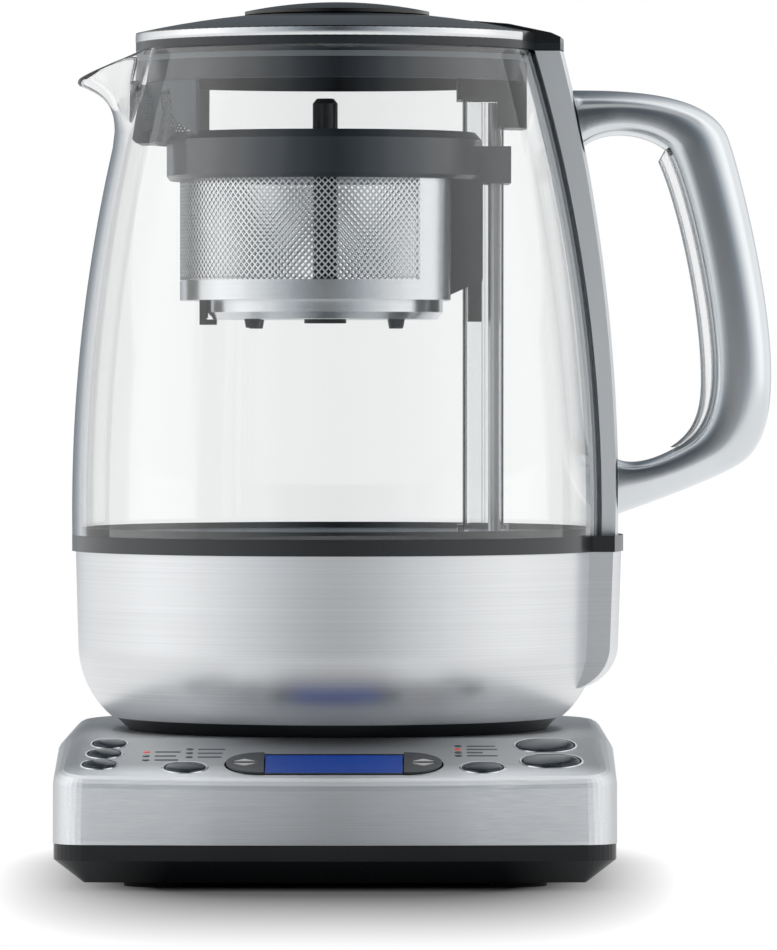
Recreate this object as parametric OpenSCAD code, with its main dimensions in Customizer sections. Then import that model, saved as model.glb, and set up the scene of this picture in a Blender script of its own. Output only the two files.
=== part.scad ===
// Automatic tea maker: a glass jug kettle with a lifting tea basket, on a steel power base.
// Front of the base faces -Y, the handle points to +X, and the base stands on z = 0.

/* [Base] */
// Width of the power base, side to side
base_w = 159.2; // [156:0.2:190]
// Reach of the base in front of the jug's axis
base_front = 104; // [102:1:120]
// Reach of the base behind the jug's axis
base_rear = 92; // [86:1:110]
// Corner radius at the front of the base
base_front_r = 10; // [6:1:16]
// Corner radius at the back of the base
base_rear_r = 34; // [20:1:45]
// Radius of the gently bowed front face
front_bow_r = 900; // [600:50:2000]
// Height of the deck that the jug stands on
deck_z = 41; // [38:0.5:48]
// Slope of the control panel, in degrees
panel_slope = 13.4; // [8:0.2:16]
// Distance from the jug's axis to the break between deck and panel
panel_start = 62; // [56:1:66]
// Rounding of the steel cover's top edge
cover_edge = 4.5; // [2:0.25:5]
// Thickness of the steel cover
cover_wall = 1.2; // [0.8:0.1:2]
// Height of the seam between steel cover and black tray
seam_z = 12.9; // [11:0.1:15]
// Height at which the tray's lower bevel starts
tray_bevel_z = 8.4; // [6:0.1:10]
// Inset of the tray's foot edge by the bevel
tray_bevel = 8.7; // [4:0.1:12]
// Wall of the black tray
tray_wall = 2.4; // [1.8:0.1:3.5]
// Height of the rubber feet
foot_h = 1.8; // [1.2:0.1:3]
// Radius of a rubber foot
foot_r = 8; // [5:0.5:10]
// Distance of a foot's middle from the base's side, front and back
foot_inset = [27.6, 26, 30]; // [16:0.2:40]
// Distance of a tray screw's boss from the base's side
screw_inset = 21.6; // [19:0.2:26]
// Width and depth of the power board inside the base
power_board_size = [70, 44]; // [40:1:80]
// Distance of the power board's corner from the base's left side and from its back
power_board_inset = [34.6, 66]; // [30:0.2:70]
// Reach of the cord inlet behind the base
inlet_out = 4; // [2:0.5:8]

/* [Controls] */
// Width and height of a small option button
small_key = [9.2, 8.2]; // [6:0.2:11]
// Width and height of a middle button
mid_key = [11.3, 9.6]; // [8:0.2:14]
// Width and height of a large button
large_key = [16.4, 12.2]; // [12:0.2:20]
// Width and height of the lozenge that holds display and arrow keys
display_field = [61.5, 20.4]; // [50:0.5:66]
// Width of the display window between the arrow keys
window_w = 38.8; // [30:0.2:44]
// How far the button caps stand above the panel
key_proud = 1.0; // [0.5:0.1:2]
// Press travel of a button
key_travel = 1.0; // [0.5:0.1:1.2]
// Gap around a button in its hole
key_gap = 0.3; // [0.2:0.05:0.5]
// Radius of an indicator light
light_r = 0.9; // [0.6:0.1:1.2]
// Radius of an arrow key's axle
key_axle_r = 0.8; // [0.6:0.05:0.9]
// Thickness of the control and power boards
board_t = 1.6; // [1:0.1:2]
// Thickness of the carrier behind the panel
carrier_t = 2; // [1.6:0.1:2.6]

/* [Jug] */
// Largest outer radius of the glass
glass_r = 77.9; // [74:0.1:82]
// Height of the glass above the black band
glass_h = 141.5; // [134:0.5:152]
// Height of the glass's widest place above the band
glass_belly = 7; // [2:0.5:16]
// Radius of the glass wall's upright curve
glass_curve_r = 480; // [440:10:600]
// Wall of the glass
glass_wall = 2.6; // [2:0.1:3.4]
// Height of the black band under the glass
band_h = 4.7; // [3:0.1:7]
// Height of the steel shell's upper edge above the deck
steel_h = 52.3; // [48:0.1:58]
// Step from the band in to the steel shell
shell_step = 1.1; // [0.5:0.1:2]
// Narrowing of the steel shell from the band to its lower rounding
shell_taper = 0.7; // [0:0.1:2]
// Height above the deck at which the shell's lower rounding starts
shell_round_h = 25; // [21:0.5:29]
// Radius of the shell's lower rounding
shell_round_r = 28; // [26:0.5:30]
// Wall of the steel shell
shell_wall = 1.2; // [0.8:0.1:2]
// How far the jug's black foot stays inside the steel shell
foot_in = 14.6; // [12:0.1:18]
// How far the heating element's tube stays inside the glass
element_in = 29.9; // [24:0.1:36]
// Gap between the jug's foot and the deck
jug_seat_gap = 0.2; // [0.1:0.1:0.4]
// How far the steel boss below the handle stands out beyond the glass
boss_out = 5.6; // [3:0.1:8]
// Half width of that boss
boss_half = 22; // [18:0.5:26]
// Thickness of the jug's floor, which is the heater plate
floor_t = 2; // [1.5:0.1:3]

/* [Spout] */
// How far the spout tip stands out beyond the rim
spout_out = 16.9; // [13:0.2:21]
// Drop of the spout tip's lip below the rim
spout_drop = 9.9; // [7:0.1:13]
// Depth of the spout below its tip
spout_depth = 13; // [10:0.5:16]
// Half width of the spout at the glass
spout_half = 14.5; // [13:0.5:17]
// Wall of the spout
spout_wall = 2.2; // [1.8:0.1:2.6]

/* [Handle] */
// Reach of the handle from the jug's axis
handle_reach = 127.6; // [122:0.2:134]
// Half depth of the handle, front to back
handle_half = 12; // [9:0.5:14]
// Half depth of the spine plate behind the handle
spine_half = 14; // [12:0.5:16]
// How far the spine plate stands out beyond the glass
spine_out = 4.8; // [3.6:0.1:7]
// Radius of the spine plate's upright curve
spine_curve_r = 545; // [520:5:600]
// Thickness of the gasket between glass and spine plate
gasket_t = 0.8; // [0.5:0.1:1.2]
// Depth of the two handle screws below the rim and above the band
handle_screw_in = [17.5, 13]; // [10:0.5:24]

/* [Lid] */
// How far the lid's edge stands out beyond the glass rim
lid_over = 0.43; // [0:0.01:2]
// Height of the lid's flat top above its steel edge
lid_rise = 8.5; // [7:0.1:12]
// Height of the steel cap's lower edge above the glass rim
lid_gap = 2.4; // [1.6:0.1:4]
// Radius of the black knob
knob_r = 27.1; // [22:0.1:30]
// Height of the knob's crown above its edge
knob_crown = 2.8; // [2:0.1:5]
// Thickness of the knob's edge
knob_edge = 1; // [0.6:0.1:2]
// Gap between the skirt and the glass rim
skirt_gap = 0.17; // [0.1:0.01:0.6]
// Depth of the skirt's lower edge below the rim
skirt_drop = 9.5; // [7:0.5:12]
// Depth of the spout filter below the skirt
filter_drop = 17.5; // [14:0.5:20]
// Wall of the skirt
skirt_wall = 2; // [1.5:0.1:2.6]

/* [Tea basket] */
// Offset of the basket's axis from the jug's axis, away from the column
basket_shift = 3.5; // [2:0.1:5]
// How far the basket's wall stays inside the skirt
basket_in = 13.2; // [12.9:0.1:16]
// Wall of the basket
basket_wall_t = 0.8; // [0.5:0.1:1.2]
// Height of the basket's wall
basket_h = 45.4; // [40:0.2:50]
// How far the collar stands out beyond the basket's wall
collar_out = 3.9; // [2.5:0.1:4.5]
// Depth of the collar's lower edge below the rim when the basket is lifted
collar_drop = 37.8; // [36:0.1:42]
// Height of the collar's outer edge
collar_h = 11.6; // [9:0.1:13]
// Step from the basket's wall in to the pan under it
pan_step = 8.2; // [5:0.1:12]
// Depth of the stepped pan
pan_h = 5.5; // [4:0.1:7]
// Radius of the black post on the basket's lid
post_r = 3.7; // [3:0.1:4.5]
// Height of the post's top above the collar
post_rise = 12.5; // [8:0.1:14]

/* [Lift] */
// Distance of the column's middle inside the skirt
column_in = 13; // [12.7:0.1:13.3]
// Width of the column, in line with the handle
column_w = 11.8; // [11.4:0.1:12.2]
// Depth of the column, front to back
column_d = 16; // [14:0.5:18]
// Wall of the column
column_wall = 1.4; // [1.2:0.1:1.5]
// Depth of the column's closed top below the rim
column_drop = 10.9; // [10.5:0.1:14]
// Running gap between the column and the parts that slide on it
slide_gap = 0.35; // [0.25:0.05:0.5]
// Radius of the drive screw
screw_r = 1.1; // [0.9:0.05:1.2]
// How far the basket sinks to steep
lift_travel = 50; // [40:1:54]
// Radius of the lift motor
motor_r = 10; // [8:0.5:11]

/* [Hidden] */
$fn = 96;

steel = "#b9bcc0";
bright = "#d4d7da";
black = "#15181b";
slate = "#3c444b";
grey = "#4d5760";
clear = [0.85, 0.90, 0.92, 0.35];

eps = 0.01;

// Longer than the whole part, for cuts that go right through.
beyond = 3 * handle_reach;

// The jug's axis stands so that the whole object's box is centred on the origin.
half_w = base_w / 2;
axis_x = (half_w - handle_reach) / 2;
axis_y = (base_front - base_rear - inlet_out) / 2;

// Heights and radii of the jug, from the deck upwards.
jug_foot_z = deck_z + jug_seat_gap;
shell_round_z = deck_z + shell_round_h;
band_z = deck_z + steel_h;
band_top_z = band_z + band_h;
floor_z = band_top_z + 0.5;
rim_z = band_top_z + glass_h;
glass_widest_z = band_top_z + glass_belly;
glass_curve_x = glass_r - glass_curve_r;
shell_top_r = glass_r - shell_step;
shell_low_r = shell_top_r - shell_taper;
boss_reach = glass_r + boss_out;
spine_reach = glass_r + spine_out;

function glass_at(z) =
    glass_curve_x + sqrt(pow(glass_curve_r, 2) - pow(z - glass_widest_z, 2));

rim_r = glass_at(rim_z);
rim_in_r = rim_r - glass_wall;
skirt_r = rim_in_r - skirt_gap;
basket_r = skirt_r - basket_in;
column_x = skirt_r - column_in;

module on_axis() {
    translate([axis_x, axis_y, 0]) children();
}

// ---------- Base ----------

function bow(x) = base_front - x * x / (2 * front_bow_r);
function panel_z(d) = deck_z - (d - panel_start) * tan(panel_slope);

front_corner_x = half_w - base_front_r;
rear_corner_x = half_w - base_rear_r;
rear_corner_y = base_rear - base_rear_r;
front_steps = [-1, -0.5, 0, 0.5, 1];

// A disc whose top edge is rounded, with its top at z = 0.
module rounded_disc(r, edge) {
    translate([0, 0, -edge]) rotate_extrude($fn = 40) {
        translate([r - edge, 0]) circle(edge, $fn = 20);
        square([r - edge, edge]);
    }
}

// The base's outline as short cylinders, drawn in by inset.
module base_ring(inset, z, h) {
    for (side = [-1, 1])
        translate([side * rear_corner_x, rear_corner_y, z])
            cylinder(r = base_rear_r - inset, h = h, $fn = 72);
    for (s = front_steps)
        translate([s * front_corner_x, base_front_r - bow(s * front_corner_x), z])
            cylinder(r = base_front_r - inset, h = h, $fn = 36);
}

// The discs here end their flat tops at the break between deck and panel.
ridge_y = base_front_r - cover_edge - panel_start;

// The steel cover's outer form: flat deck, sloping panel and rounded top edge.
module cover_form(inset) {
    edge = cover_edge - inset;
    hull() {
        base_ring(inset, seam_z - (inset > 0 ? 1 : 0), 1);
        for (side = [-1, 1]) {
            translate([side * rear_corner_x, rear_corner_y, deck_z - inset])
                rounded_disc(base_rear_r - inset, edge);
            translate([side * front_corner_x, ridge_y, deck_z - inset])
                rounded_disc(base_front_r - inset, edge);
        }
        for (s = front_steps)
            on_panel(s * front_corner_x, bow(s * front_corner_x) - base_front_r, -inset)
                rounded_disc(base_front_r - inset, edge);
    }
}

// Places its children on the sloping panel, x to the right and d in front of the jug's axis.
module on_panel(x, d, up = 0) {
    translate([x, -d, panel_z(d)]) rotate([panel_slope, 0, 0]) translate([0, 0, up]) children();
}

// A flat bar with round ends, size = [width, height], grown by grow all round.
module oval(size, grow = 0) {
    r = size[1] / 2 + grow;
    reach = (size[0] - size[1]) / 2;
    square([2 * reach, 2 * r], center = true);
    for (side = [-1, 1]) translate([side * reach, 0]) circle(r);
}

module oval_bar(size, low, high, grow = 0) {
    translate([0, 0, low]) linear_extrude(high - low) oval(size, grow);
}

// Places on the panel: x from the jug's axis, then the distance in front of it.
small_keys = [for (p = [[15.1, 5.8], [14, 15.6], [13, 26.2]]) [p[0] - half_w, panel_start + p[1]]];
large_keys = [for (p = [[19.8, 7.4], [18.4, 22.7]]) [half_w - p[0], panel_start + p[1]]];
display_at = [-0.3, base_front - 16];
// The middle buttons stand halfway between the display and the large buttons.
mid_reach = (large_keys[1][0] - large_key[0] / 2 - display_at[0] + display_field[0] / 2) / 2;
mid_keys = [for (side = [-1, 1]) [display_at[0] + side * mid_reach, base_front - 13]];
lights = concat(
    [for (i = [0:2]) small_keys[1] + [12, 3.9 * i - 1.6]],
    [for (i = [0:2]) mid_keys[0] + [0.9, 3.8 * i - 17.6]],
    [for (i = [0:3]) mid_keys[1] + [-6.8, 3.1 * i - 20.6]]
);
all_keys = concat(
    [for (k = small_keys) [k, small_key]],
    [for (k = mid_keys) [k, mid_key]],
    [for (k = large_keys) [k, large_key]]
);

socket_r = 25.5;
socket_flange_r = 30;
carrier_top = -cover_wall - 0.2;
board_top = carrier_top - 6.2;
key_flange = 1.1;
key_flange_t = 0.8;
screw_at = [
    for (x = [-1, 1], y = [base_rear - 46, 10 - panel_start]) [x * (half_w - screw_inset), y]
];
tray_screw_r = 1.6;
boss_r = 4.5;
tube_r = 15;
tray_floor_z = foot_h + tray_wall;
inlet_z = seam_z + 9;
inlet_r = 5;

module panel_holes(low, high, grow) {
    for (k = all_keys)
        on_panel(k[0][0], k[0][1]) oval_bar(k[1], low, high, grow);
    for (l = lights)
        on_panel(l[0], l[1], low) cylinder(r = light_r + 0.1, h = high - low);
}

module base_cover() {
    color(steel) on_axis() difference() {
        cover_form(0);
        cover_form(cover_wall);
        translate([0, 0, deck_z - 5]) cylinder(r = socket_r + 0.2, h = 10);
        panel_holes(-6, 6, key_gap);
        on_panel(display_at[0], display_at[1]) oval_bar(display_field, -6, 6, key_gap);
        translate([0, base_rear - 5, inlet_z]) rotate([-90, 0, 0])
            cylinder(r = inlet_r + 0.2, h = 10);
    }
}

module base_tray() {
    color(black) on_axis() {
        difference() {
            hull() {
                base_ring(0.2, tray_bevel_z, seam_z - tray_bevel_z);
                base_ring(tray_bevel, foot_h, 1);
            }
            hull() {
                base_ring(tray_wall, tray_bevel_z, seam_z);
                base_ring(tray_bevel + tray_wall, tray_floor_z, 1);
            }
            for (p = screw_at)
                translate([p[0], p[1], 0]) cylinder(r = tray_screw_r + 0.1, h = 10);
        }
        for (p = screw_at)
            translate([p[0], p[1], tray_floor_z - 0.5]) difference() {
                cylinder(r = boss_r, h = deck_z - cover_wall - tray_floor_z + 0.4);
                translate([0, 0, -1]) cylinder(r = tray_screw_r + 0.1, h = 22);
            }
        translate([0, 0, tray_floor_z - 0.5]) difference() {
            cylinder(r = tube_r, h = connector_low_z - tray_floor_z + 0.4);
            translate([0, 0, -1]) cylinder(r = tube_r - tray_wall, h = deck_z);
        }
    }
}

module base_feet() {
    color(black) on_axis()
        for (side = [-1, 1], y = [foot_inset[1] - base_front, base_rear - foot_inset[2]])
            translate([side * (half_w - foot_inset[0]), y, 0]) cylinder(r = foot_r, h = foot_h);
}

module base_screws() {
    color(bright) on_axis()
        for (p = screw_at) translate([p[0], p[1], foot_h - 0.6]) {
            cylinder(r = 3, h = 0.6);
            cylinder(r = tray_screw_r, h = 16);
        }
}

connector_r = 16;
connector_low_z = deck_z - 13.8;
moat_floor_z = deck_z - 4;

module socket_ring() {
    color(black) on_axis() difference() {
        union() {
            translate([0, 0, deck_z - 5]) cylinder(r = socket_r, h = 5);
            translate([0, 0, deck_z]) cylinder(r = socket_flange_r, h = jug_seat_gap / 2);
        }
        translate([0, 0, moat_floor_z]) cylinder(r = socket_r - 1.5, h = 10);
        translate([0, 0, deck_z - 10]) cylinder(r = connector_r + 0.1, h = 20);
    }
}

module power_connector() {
    top_z = deck_z + 5.5;
    color(black) on_axis() difference() {
        union() {
            translate([0, 0, connector_low_z])
                cylinder(r = connector_r, h = top_z - 1 - connector_low_z);
            translate([0, 0, top_z - 1]) cylinder(r1 = connector_r, r2 = connector_r - 1, h = 1);
        }
        translate([0, 0, top_z - 10]) difference() {
            cylinder(r = connector_r - 2.5, h = 12);
            translate([0, 0, -1]) cylinder(r = connector_r - 5.5, h = 14);
        }
        translate([0, 0, top_z - 12]) cylinder(r = 3.2, h = 14);
    }
}

module connector_pins() {
    color("#c8a860") on_axis() {
        translate([0, 0, deck_z - 6.5]) cylinder(r = 1.6, h = 10);
        translate([0, 0, deck_z - 4.5]) difference() {
            cylinder(r = connector_r - 2.5, h = 4);
            translate([0, 0, -1]) cylinder(r = connector_r - 3.2, h = 6);
        }
        translate([0, 0, deck_z - 4.5]) difference() {
            cylinder(r = connector_r - 4.8, h = 4);
            translate([0, 0, -1]) cylinder(r = connector_r - 5.5, h = 6);
        }
    }
}

carrier_half = half_w - 7.6;
carrier_d = [panel_start + 3, base_front - 8];
module_size = [window_w - 3.8, display_field[1] - 3.4];
carrier_posts = [
    [27.6 - half_w, panel_start + 6], [-20, panel_start + 9], [24, panel_start + 9],
    [half_w - 27.6, base_front - 10], [25.6 - half_w, base_front - 10]
];

module panel_carrier() {
    mid_d = (carrier_d[0] + carrier_d[1]) / 2;
    depth = carrier_d[1] - carrier_d[0];
    color(black) on_axis() difference() {
        union() {
            on_panel(0, mid_d, carrier_top - carrier_t / 2)
                cube([2 * carrier_half, depth, carrier_t], center = true);
            on_panel(display_at[0], display_at[1])
                oval_bar(display_field, carrier_top - carrier_t, carrier_top, 2);
            for (p = carrier_posts)
                on_panel(p[0], p[1], board_top) cylinder(r = 2, h = carrier_top - board_top);
        }
        for (k = all_keys)
            on_panel(k[0][0], k[0][1]) oval_bar(k[1], -6, 6, key_flange + key_gap);
        for (l = lights)
            on_panel(l[0], l[1], -6) cylinder(r = light_r + 0.1, h = 12);
        on_panel(display_at[0], display_at[1])
            cube([module_size[0] + 0.2, module_size[1] + 0.2, 20], center = true);
        for (side = [-1, 1])
            on_panel(display_at[0], display_at[1]) {
                translate([0, 0, -6]) linear_extrude(12) arrow_plan(side, key_gap);
                arrow_axle(side, 0.1, 0.1);
            }
    }
}

module control_board() {
    mid_d = (carrier_d[0] + carrier_d[1]) / 2;
    depth = carrier_d[1] - carrier_d[0] - 1;
    color("#1f5a3a") on_axis() difference() {
        on_panel(0, mid_d, board_top - board_t / 2)
            cube([2 * carrier_half - 4, depth, board_t], center = true);
        for (l = lights)
            on_panel(l[0], l[1], board_top - 3) cylinder(r = 0.3, h = 1.8);
    }
}

switch_top = board_top + 1.7;
switch_offset = 6.5;

module key_switches() {
    color("#22252a") on_axis() {
        for (k = all_keys)
            on_panel(k[0][0], k[0][1], board_top) {
                translate([-2.5, -2.5, 0]) cube([5, 5, 1]);
                cylinder(r = 1.3, h = switch_top - board_top);
            }
        for (side = [-1, 1], end = [-1, 1])
            on_panel(display_at[0], display_at[1], board_top)
                translate([side * arrow_mid - 2, end * switch_offset - 2, 0]) cube([4, 4, 1.2]);
    }
}

module indicator_lights() {
    color("#c8372d") on_axis()
        for (l = lights)
            on_panel(l[0], l[1], board_top) cylinder(r = light_r, h = 0.15 - board_top);
}

window_h = display_field[1] - 0.6;

module display_window() {
    color([0.15, 0.28, 0.72, 0.9]) on_axis()
        on_panel(display_at[0], display_at[1], carrier_top)
            translate([-window_w / 2, -window_h / 2, 0])
                cube([window_w, window_h, 0.1 - carrier_top]);
}

module display_module() {
    color("#2a2f35") on_axis()
        on_panel(display_at[0], display_at[1], board_top)
            translate([-module_size[0] / 2, -module_size[1] / 2, 0])
                cube([module_size[0], module_size[1], carrier_top - board_top]);
}

power_board_at = [power_board_inset[0] - half_w, base_rear - power_board_inset[1]];
standoff_h = 5;

module power_board() {
    w = power_board_size[0];
    d = power_board_size[1];
    parts_z = standoff_h + board_t;
    color("#1f5a3a") on_axis() translate([power_board_at[0], power_board_at[1], tray_floor_z]) {
        translate([0, 0, standoff_h]) cube([w, d, board_t]);
        for (x = [4, w - 4], y = [4, d - 4]) translate([x, y, 0]) cylinder(r = 2.2, h = standoff_h);
        translate([7, 14, parts_z]) cube([22, 20, 16]);
        translate([37, 18, parts_z]) cube([16, 12, 12]);
        for (x = [w - 11, w - 5]) translate([x, 10, parts_z]) cylinder(r = 2.5, h = 10);
    }
}

module buzzer() {
    color(black) on_axis() on_panel(half_w - 13.6, panel_start + 14, board_top)
        cylinder(r = 2.9, h = 2.6);
}

module cord_inlet() {
    color(black) on_axis() translate([0, base_rear, inlet_z]) rotate([-90, 0, 0]) difference() {
        union() {
            translate([0, 0, -10]) cylinder(r = inlet_r, h = 10);
            cylinder(r = inlet_r + 2, h = inlet_out);
            translate([0, 0, -cover_wall - 2.2]) cylinder(r = inlet_r + 2, h = 2);
        }
        translate([0, 0, -11]) cylinder(r = inlet_r - 1.6, h = 20 + inlet_out);
    }
}

// A push button: domed oval cap, a flange that keeps it in, and a stem to its switch.
module push_button(at, size) {
    stem_low = switch_top + key_travel + 0.1;
    flange_top = carrier_top;
    color(bright) on_axis() on_panel(at[0], at[1]) {
        oval_bar(size, flange_top, key_proud - 0.4);
        oval_bar(size, key_proud - 0.5, key_proud, -0.5);
        oval_bar(size, flange_top - key_flange_t, flange_top, key_flange - key_gap);
        translate([0, 0, stem_low]) cylinder(r = 1.3, h = flange_top - stem_low);
    }
}

module small_button_1() { push_button(small_keys[0], small_key); }
module small_button_2() { push_button(small_keys[1], small_key); }
module small_button_3() { push_button(small_keys[2], small_key); }
module mid_button_1() { push_button(mid_keys[0], mid_key); }
module mid_button_2() { push_button(mid_keys[1], mid_key); }
module large_button_1() { push_button(large_keys[0], large_key); }
module large_button_2() { push_button(large_keys[1], large_key); }

arrow_gap = 0.35;
arrow_in = window_w / 2 + arrow_gap;
arrow_out = display_field[0] / 2;
arrow_mid = (arrow_in + arrow_out) / 2;
arrow_axle_z = carrier_top - carrier_t / 2;

// Plan of an arrow key: the lozenge's round end beyond the window.
module arrow_plan(side, grow = 0) {
    intersection() {
        oval([display_field[0] - 0.2, display_field[1] - 0.2], grow - 0.1);
        translate([side > 0 ? arrow_in - grow : -arrow_out - 5, -20])
            square([arrow_out - arrow_in + 5 + grow, 40]);
    }
}

module arrow_axle(side, grow, longer) {
    x = side > 0 ? arrow_in - 1 : -arrow_out - 1;
    translate([x - longer, 0, arrow_axle_z]) rotate([0, 90, 0])
        cylinder(r = key_axle_r + grow, h = arrow_out - arrow_in + 2 + 2 * longer);
}

module arrow_key(side) {
    color(slate) on_axis() on_panel(display_at[0], display_at[1]) {
        difference() {
            translate([0, 0, arrow_axle_z - 0.4]) linear_extrude(0.7 - arrow_axle_z + 0.4)
                arrow_plan(side);
            translate([side * arrow_mid, 0, 26]) sphere(r = 25.6);
        }
        arrow_axle(side, 0, 0);
        for (end = [-1, 1])
            translate([side * arrow_mid, end * switch_offset, board_top + 1.65])
                cylinder(r = 1.2, h = arrow_axle_z - board_top - 1.65);
    }
}

module arrow_key_1() { arrow_key(-1); }
module arrow_key_2() { arrow_key(1); }

// ---------- Jug ----------

shell_round_x = shell_low_r - shell_round_r;
shell_low_z = jug_foot_z + 3.6;

function shell_at(z) = shell_round_x + sqrt(pow(shell_round_r, 2) - pow(shell_round_z - z, 2));

// The solid that the glass's outer curve encloses, drawn in by inset.
module glass_profile(inset, low, high) {
    intersection() {
        translate([glass_curve_x, glass_widest_z]) circle(r = glass_curve_r - inset, $fn = 720);
        translate([0, low]) square([glass_r + 10, high - low]);
    }
}

spout_reach = rim_r + spout_out;
spout_tip_z = rim_z - spout_drop;
spout_low_z = spout_tip_z - spout_depth;
spout_root_x = 10.7 - rim_r;

// A disc of the spout, facing along X.
module spout_disc(x, z, r) {
    translate([x, 0, z]) rotate([0, 90, 0]) cylinder(r = r, h = 1, center = true, $fn = 40);
}

// The spout as a trough that narrows and climbs to the tip; drawn in by inset.
module spout_form(inset) {
    tip_r = 3.4;
    axis_z = spout_low_z + spout_half;
    hull()
        for (up = [0, 2 * spout_depth]) {
            spout_disc(spout_root_x, axis_z + up, spout_half - inset);
            spout_disc(spout_root_x - 14, axis_z + up - 0.6, spout_half - 1.5 - inset);
            spout_disc(0.5 - spout_reach, spout_tip_z + 0.9 + up, tip_r - inset);
        }
}

// Everything above the rim and above the lip, which falls from the rim to the tip.
module above_lip() {
    fall = atan(spout_drop / spout_out);
    translate([-rim_r, 0, rim_z]) rotate([0, -fall, 0])
        translate([-glass_r, -glass_r, 0]) cube([2 * glass_r, 2 * glass_r, rim_r]);
    translate([-beyond / 2, -beyond / 2, rim_z]) cube([beyond, beyond, beyond]);
}

module jug_glass() {
    color(clear) on_axis() difference() {
        union() {
            rotate_extrude($fn = 180) glass_profile(0, band_top_z, rim_z);
            difference() {
                spout_form(0);
                above_lip();
                translate([spout_root_x + 8, 0, 0]) cylinder(r = spout_half + 1.5, h = beyond);
            }
        }
        rotate_extrude($fn = 180) glass_profile(glass_wall, band_top_z - 1, rim_z + 1);
        intersection() {
            spout_form(spout_wall);
            translate([spout_root_x + 8 - beyond, -beyond / 2, 0]) cube([beyond, beyond, beyond]);
        }
    }
}

module jug_band() {
    glass_in = glass_r - glass_wall;
    plate_r = glass_in - 0.9;
    color(slate) on_axis() difference() {
        union() {
            translate([0, 0, band_z]) cylinder(r = glass_r, h = band_h);
            translate([0, 0, band_top_z - eps]) cylinder(r = glass_in - 0.2, h = 2.2);
            intersection() {
                translate([shell_round_x, -boss_half - 0.6, band_z])
                    cube([boss_reach, 2 * boss_half + 1.2, band_h]);
                cylinder(r = boss_reach + 0.6, h = beyond);
            }
        }
        translate([0, 0, band_z - 1]) cylinder(r = plate_r - 2.4, h = 20);
        translate([0, 0, floor_z - floor_t]) cylinder(r = plate_r, h = 20);
    }
}

module shell_profile(inset) {
    top = band_z - 0.05;
    polygon([
        [0, shell_round_z], [shell_low_r - inset, shell_round_z],
        [shell_top_r - inset, top + (inset > 0 ? 1 : 0)], [0, top + (inset > 0 ? 1 : 0)]
    ]);
    intersection() {
        translate([shell_round_x, shell_round_z]) circle(r = shell_round_r - inset, $fn = 180);
        translate([0, shell_low_z - (inset > 0 ? 5 : 0)])
            square([glass_r, shell_round_z - shell_low_z + (inset > 0 ? 5 : 0)]);
    }
    translate([0, shell_low_z - (inset > 0 ? 5 : 0)])
        square([shell_round_x, shell_round_z - shell_low_z + (inset > 0 ? 5 : 0)]);
}

boss_round_r = 13;
boss_low_r = boss_reach - 0.9;

module boss_profile(inset) {
    top = band_z - 0.05;
    polygon([
        [0, shell_round_z], [boss_low_r - inset, shell_round_z],
        [boss_reach - inset, top + (inset > 0 ? 1 : 0)], [0, top + (inset > 0 ? 1 : 0)]
    ]);
    intersection() {
        translate([boss_low_r - boss_round_r, shell_round_z]) circle(r = boss_round_r - inset);
        translate([0, shell_round_z - boss_round_r]) square([boss_reach, boss_round_r]);
    }
    translate([0, shell_round_z - boss_round_r + inset])
        square([boss_low_r - boss_round_r, boss_round_r - inset]);
}

module boss_form(inset) {
    intersection() {
        rotate_extrude($fn = 180) boss_profile(inset);
        translate([shell_round_x, inset - boss_half, 0])
            cube([boss_reach, 2 * (boss_half - inset), rim_z]);
    }
}

module jug_shell() {
    color(steel) on_axis() difference() {
        union() {
            rotate_extrude($fn = 180) shell_profile(0);
            boss_form(0);
        }
        rotate_extrude($fn = 180) shell_profile(shell_wall);
        boss_form(shell_wall);
    }
}

jug_socket_r = 22;

module jug_foot() {
    low_r = shell_at(shell_low_z);
    in_r = shell_at(shell_low_z + 1.6) - shell_wall - 0.6;
    color(black) on_axis() difference() {
        union() {
            translate([0, 0, jug_foot_z])
                cylinder(r1 = shell_low_r - foot_in, r2 = low_r - 1.2,
                    h = shell_low_z - jug_foot_z - 0.02);
            translate([0, 0, shell_low_z - 0.1]) cylinder(r = in_r - 2.2, h = 1.8);
        }
        translate([0, 0, jug_foot_z + 2.2]) cylinder(r = in_r - 5, h = 20);
        cylinder(r = jug_socket_r + 0.2, h = rim_z);
    }
}

sensor_at = [-25, 18];
lift_screw_x = column_x + 2.6;
seal_r = 3.1;

module heater_plate() {
    plate_r = glass_r - glass_wall - 1.1;
    color(bright) on_axis() difference() {
        translate([0, 0, floor_z - floor_t + 0.02]) cylinder(r = plate_r, h = floor_t - 0.02);
        translate([lift_screw_x, 0, 0]) cylinder(r = seal_r + 0.1, h = rim_z);
    }
}

element_r = glass_r - element_in;
element_tube_r = 3.4;

module heating_element() {
    z = floor_z - floor_t - element_tube_r;
    color("#8d8f92") on_axis() rotate([0, 0, 32]) translate([0, 0, z]) {
        rotate_extrude(angle = 296) translate([element_r, 0]) circle(r = element_tube_r);
        for (a = [0, 296]) rotate([0, 0, a]) translate([element_r, 0, -14])
            cylinder(r = element_tube_r - 1, h = 14);
    }
}

module jug_connector() {
    color(black) on_axis() difference() {
        union() {
            translate([0, 0, moat_floor_z + 2]) cylinder(r = jug_socket_r, h = 18);
            translate([0, 0, jug_foot_z + 2.25]) cylinder(r = jug_socket_r + 5, h = 2);
        }
        translate([0, 0, moat_floor_z - 1]) cylinder(r = connector_r + 1, h = 12);
    }
}

module temperature_sensor() {
    h = 14;
    color(bright) on_axis() translate([sensor_at[0], sensor_at[1], floor_z - floor_t - h])
        cylinder(r = 4, h = h);
}

col_in_w = column_w - 2 * column_wall;
col_in_d = column_d - 2 * column_wall;
col_low_x = column_x - column_w / 2;
col_high_x = column_x + column_w / 2;
rib_x = column_x + 0.1;
rib_t = 0.8;
slot_half = 2.6;

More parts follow.
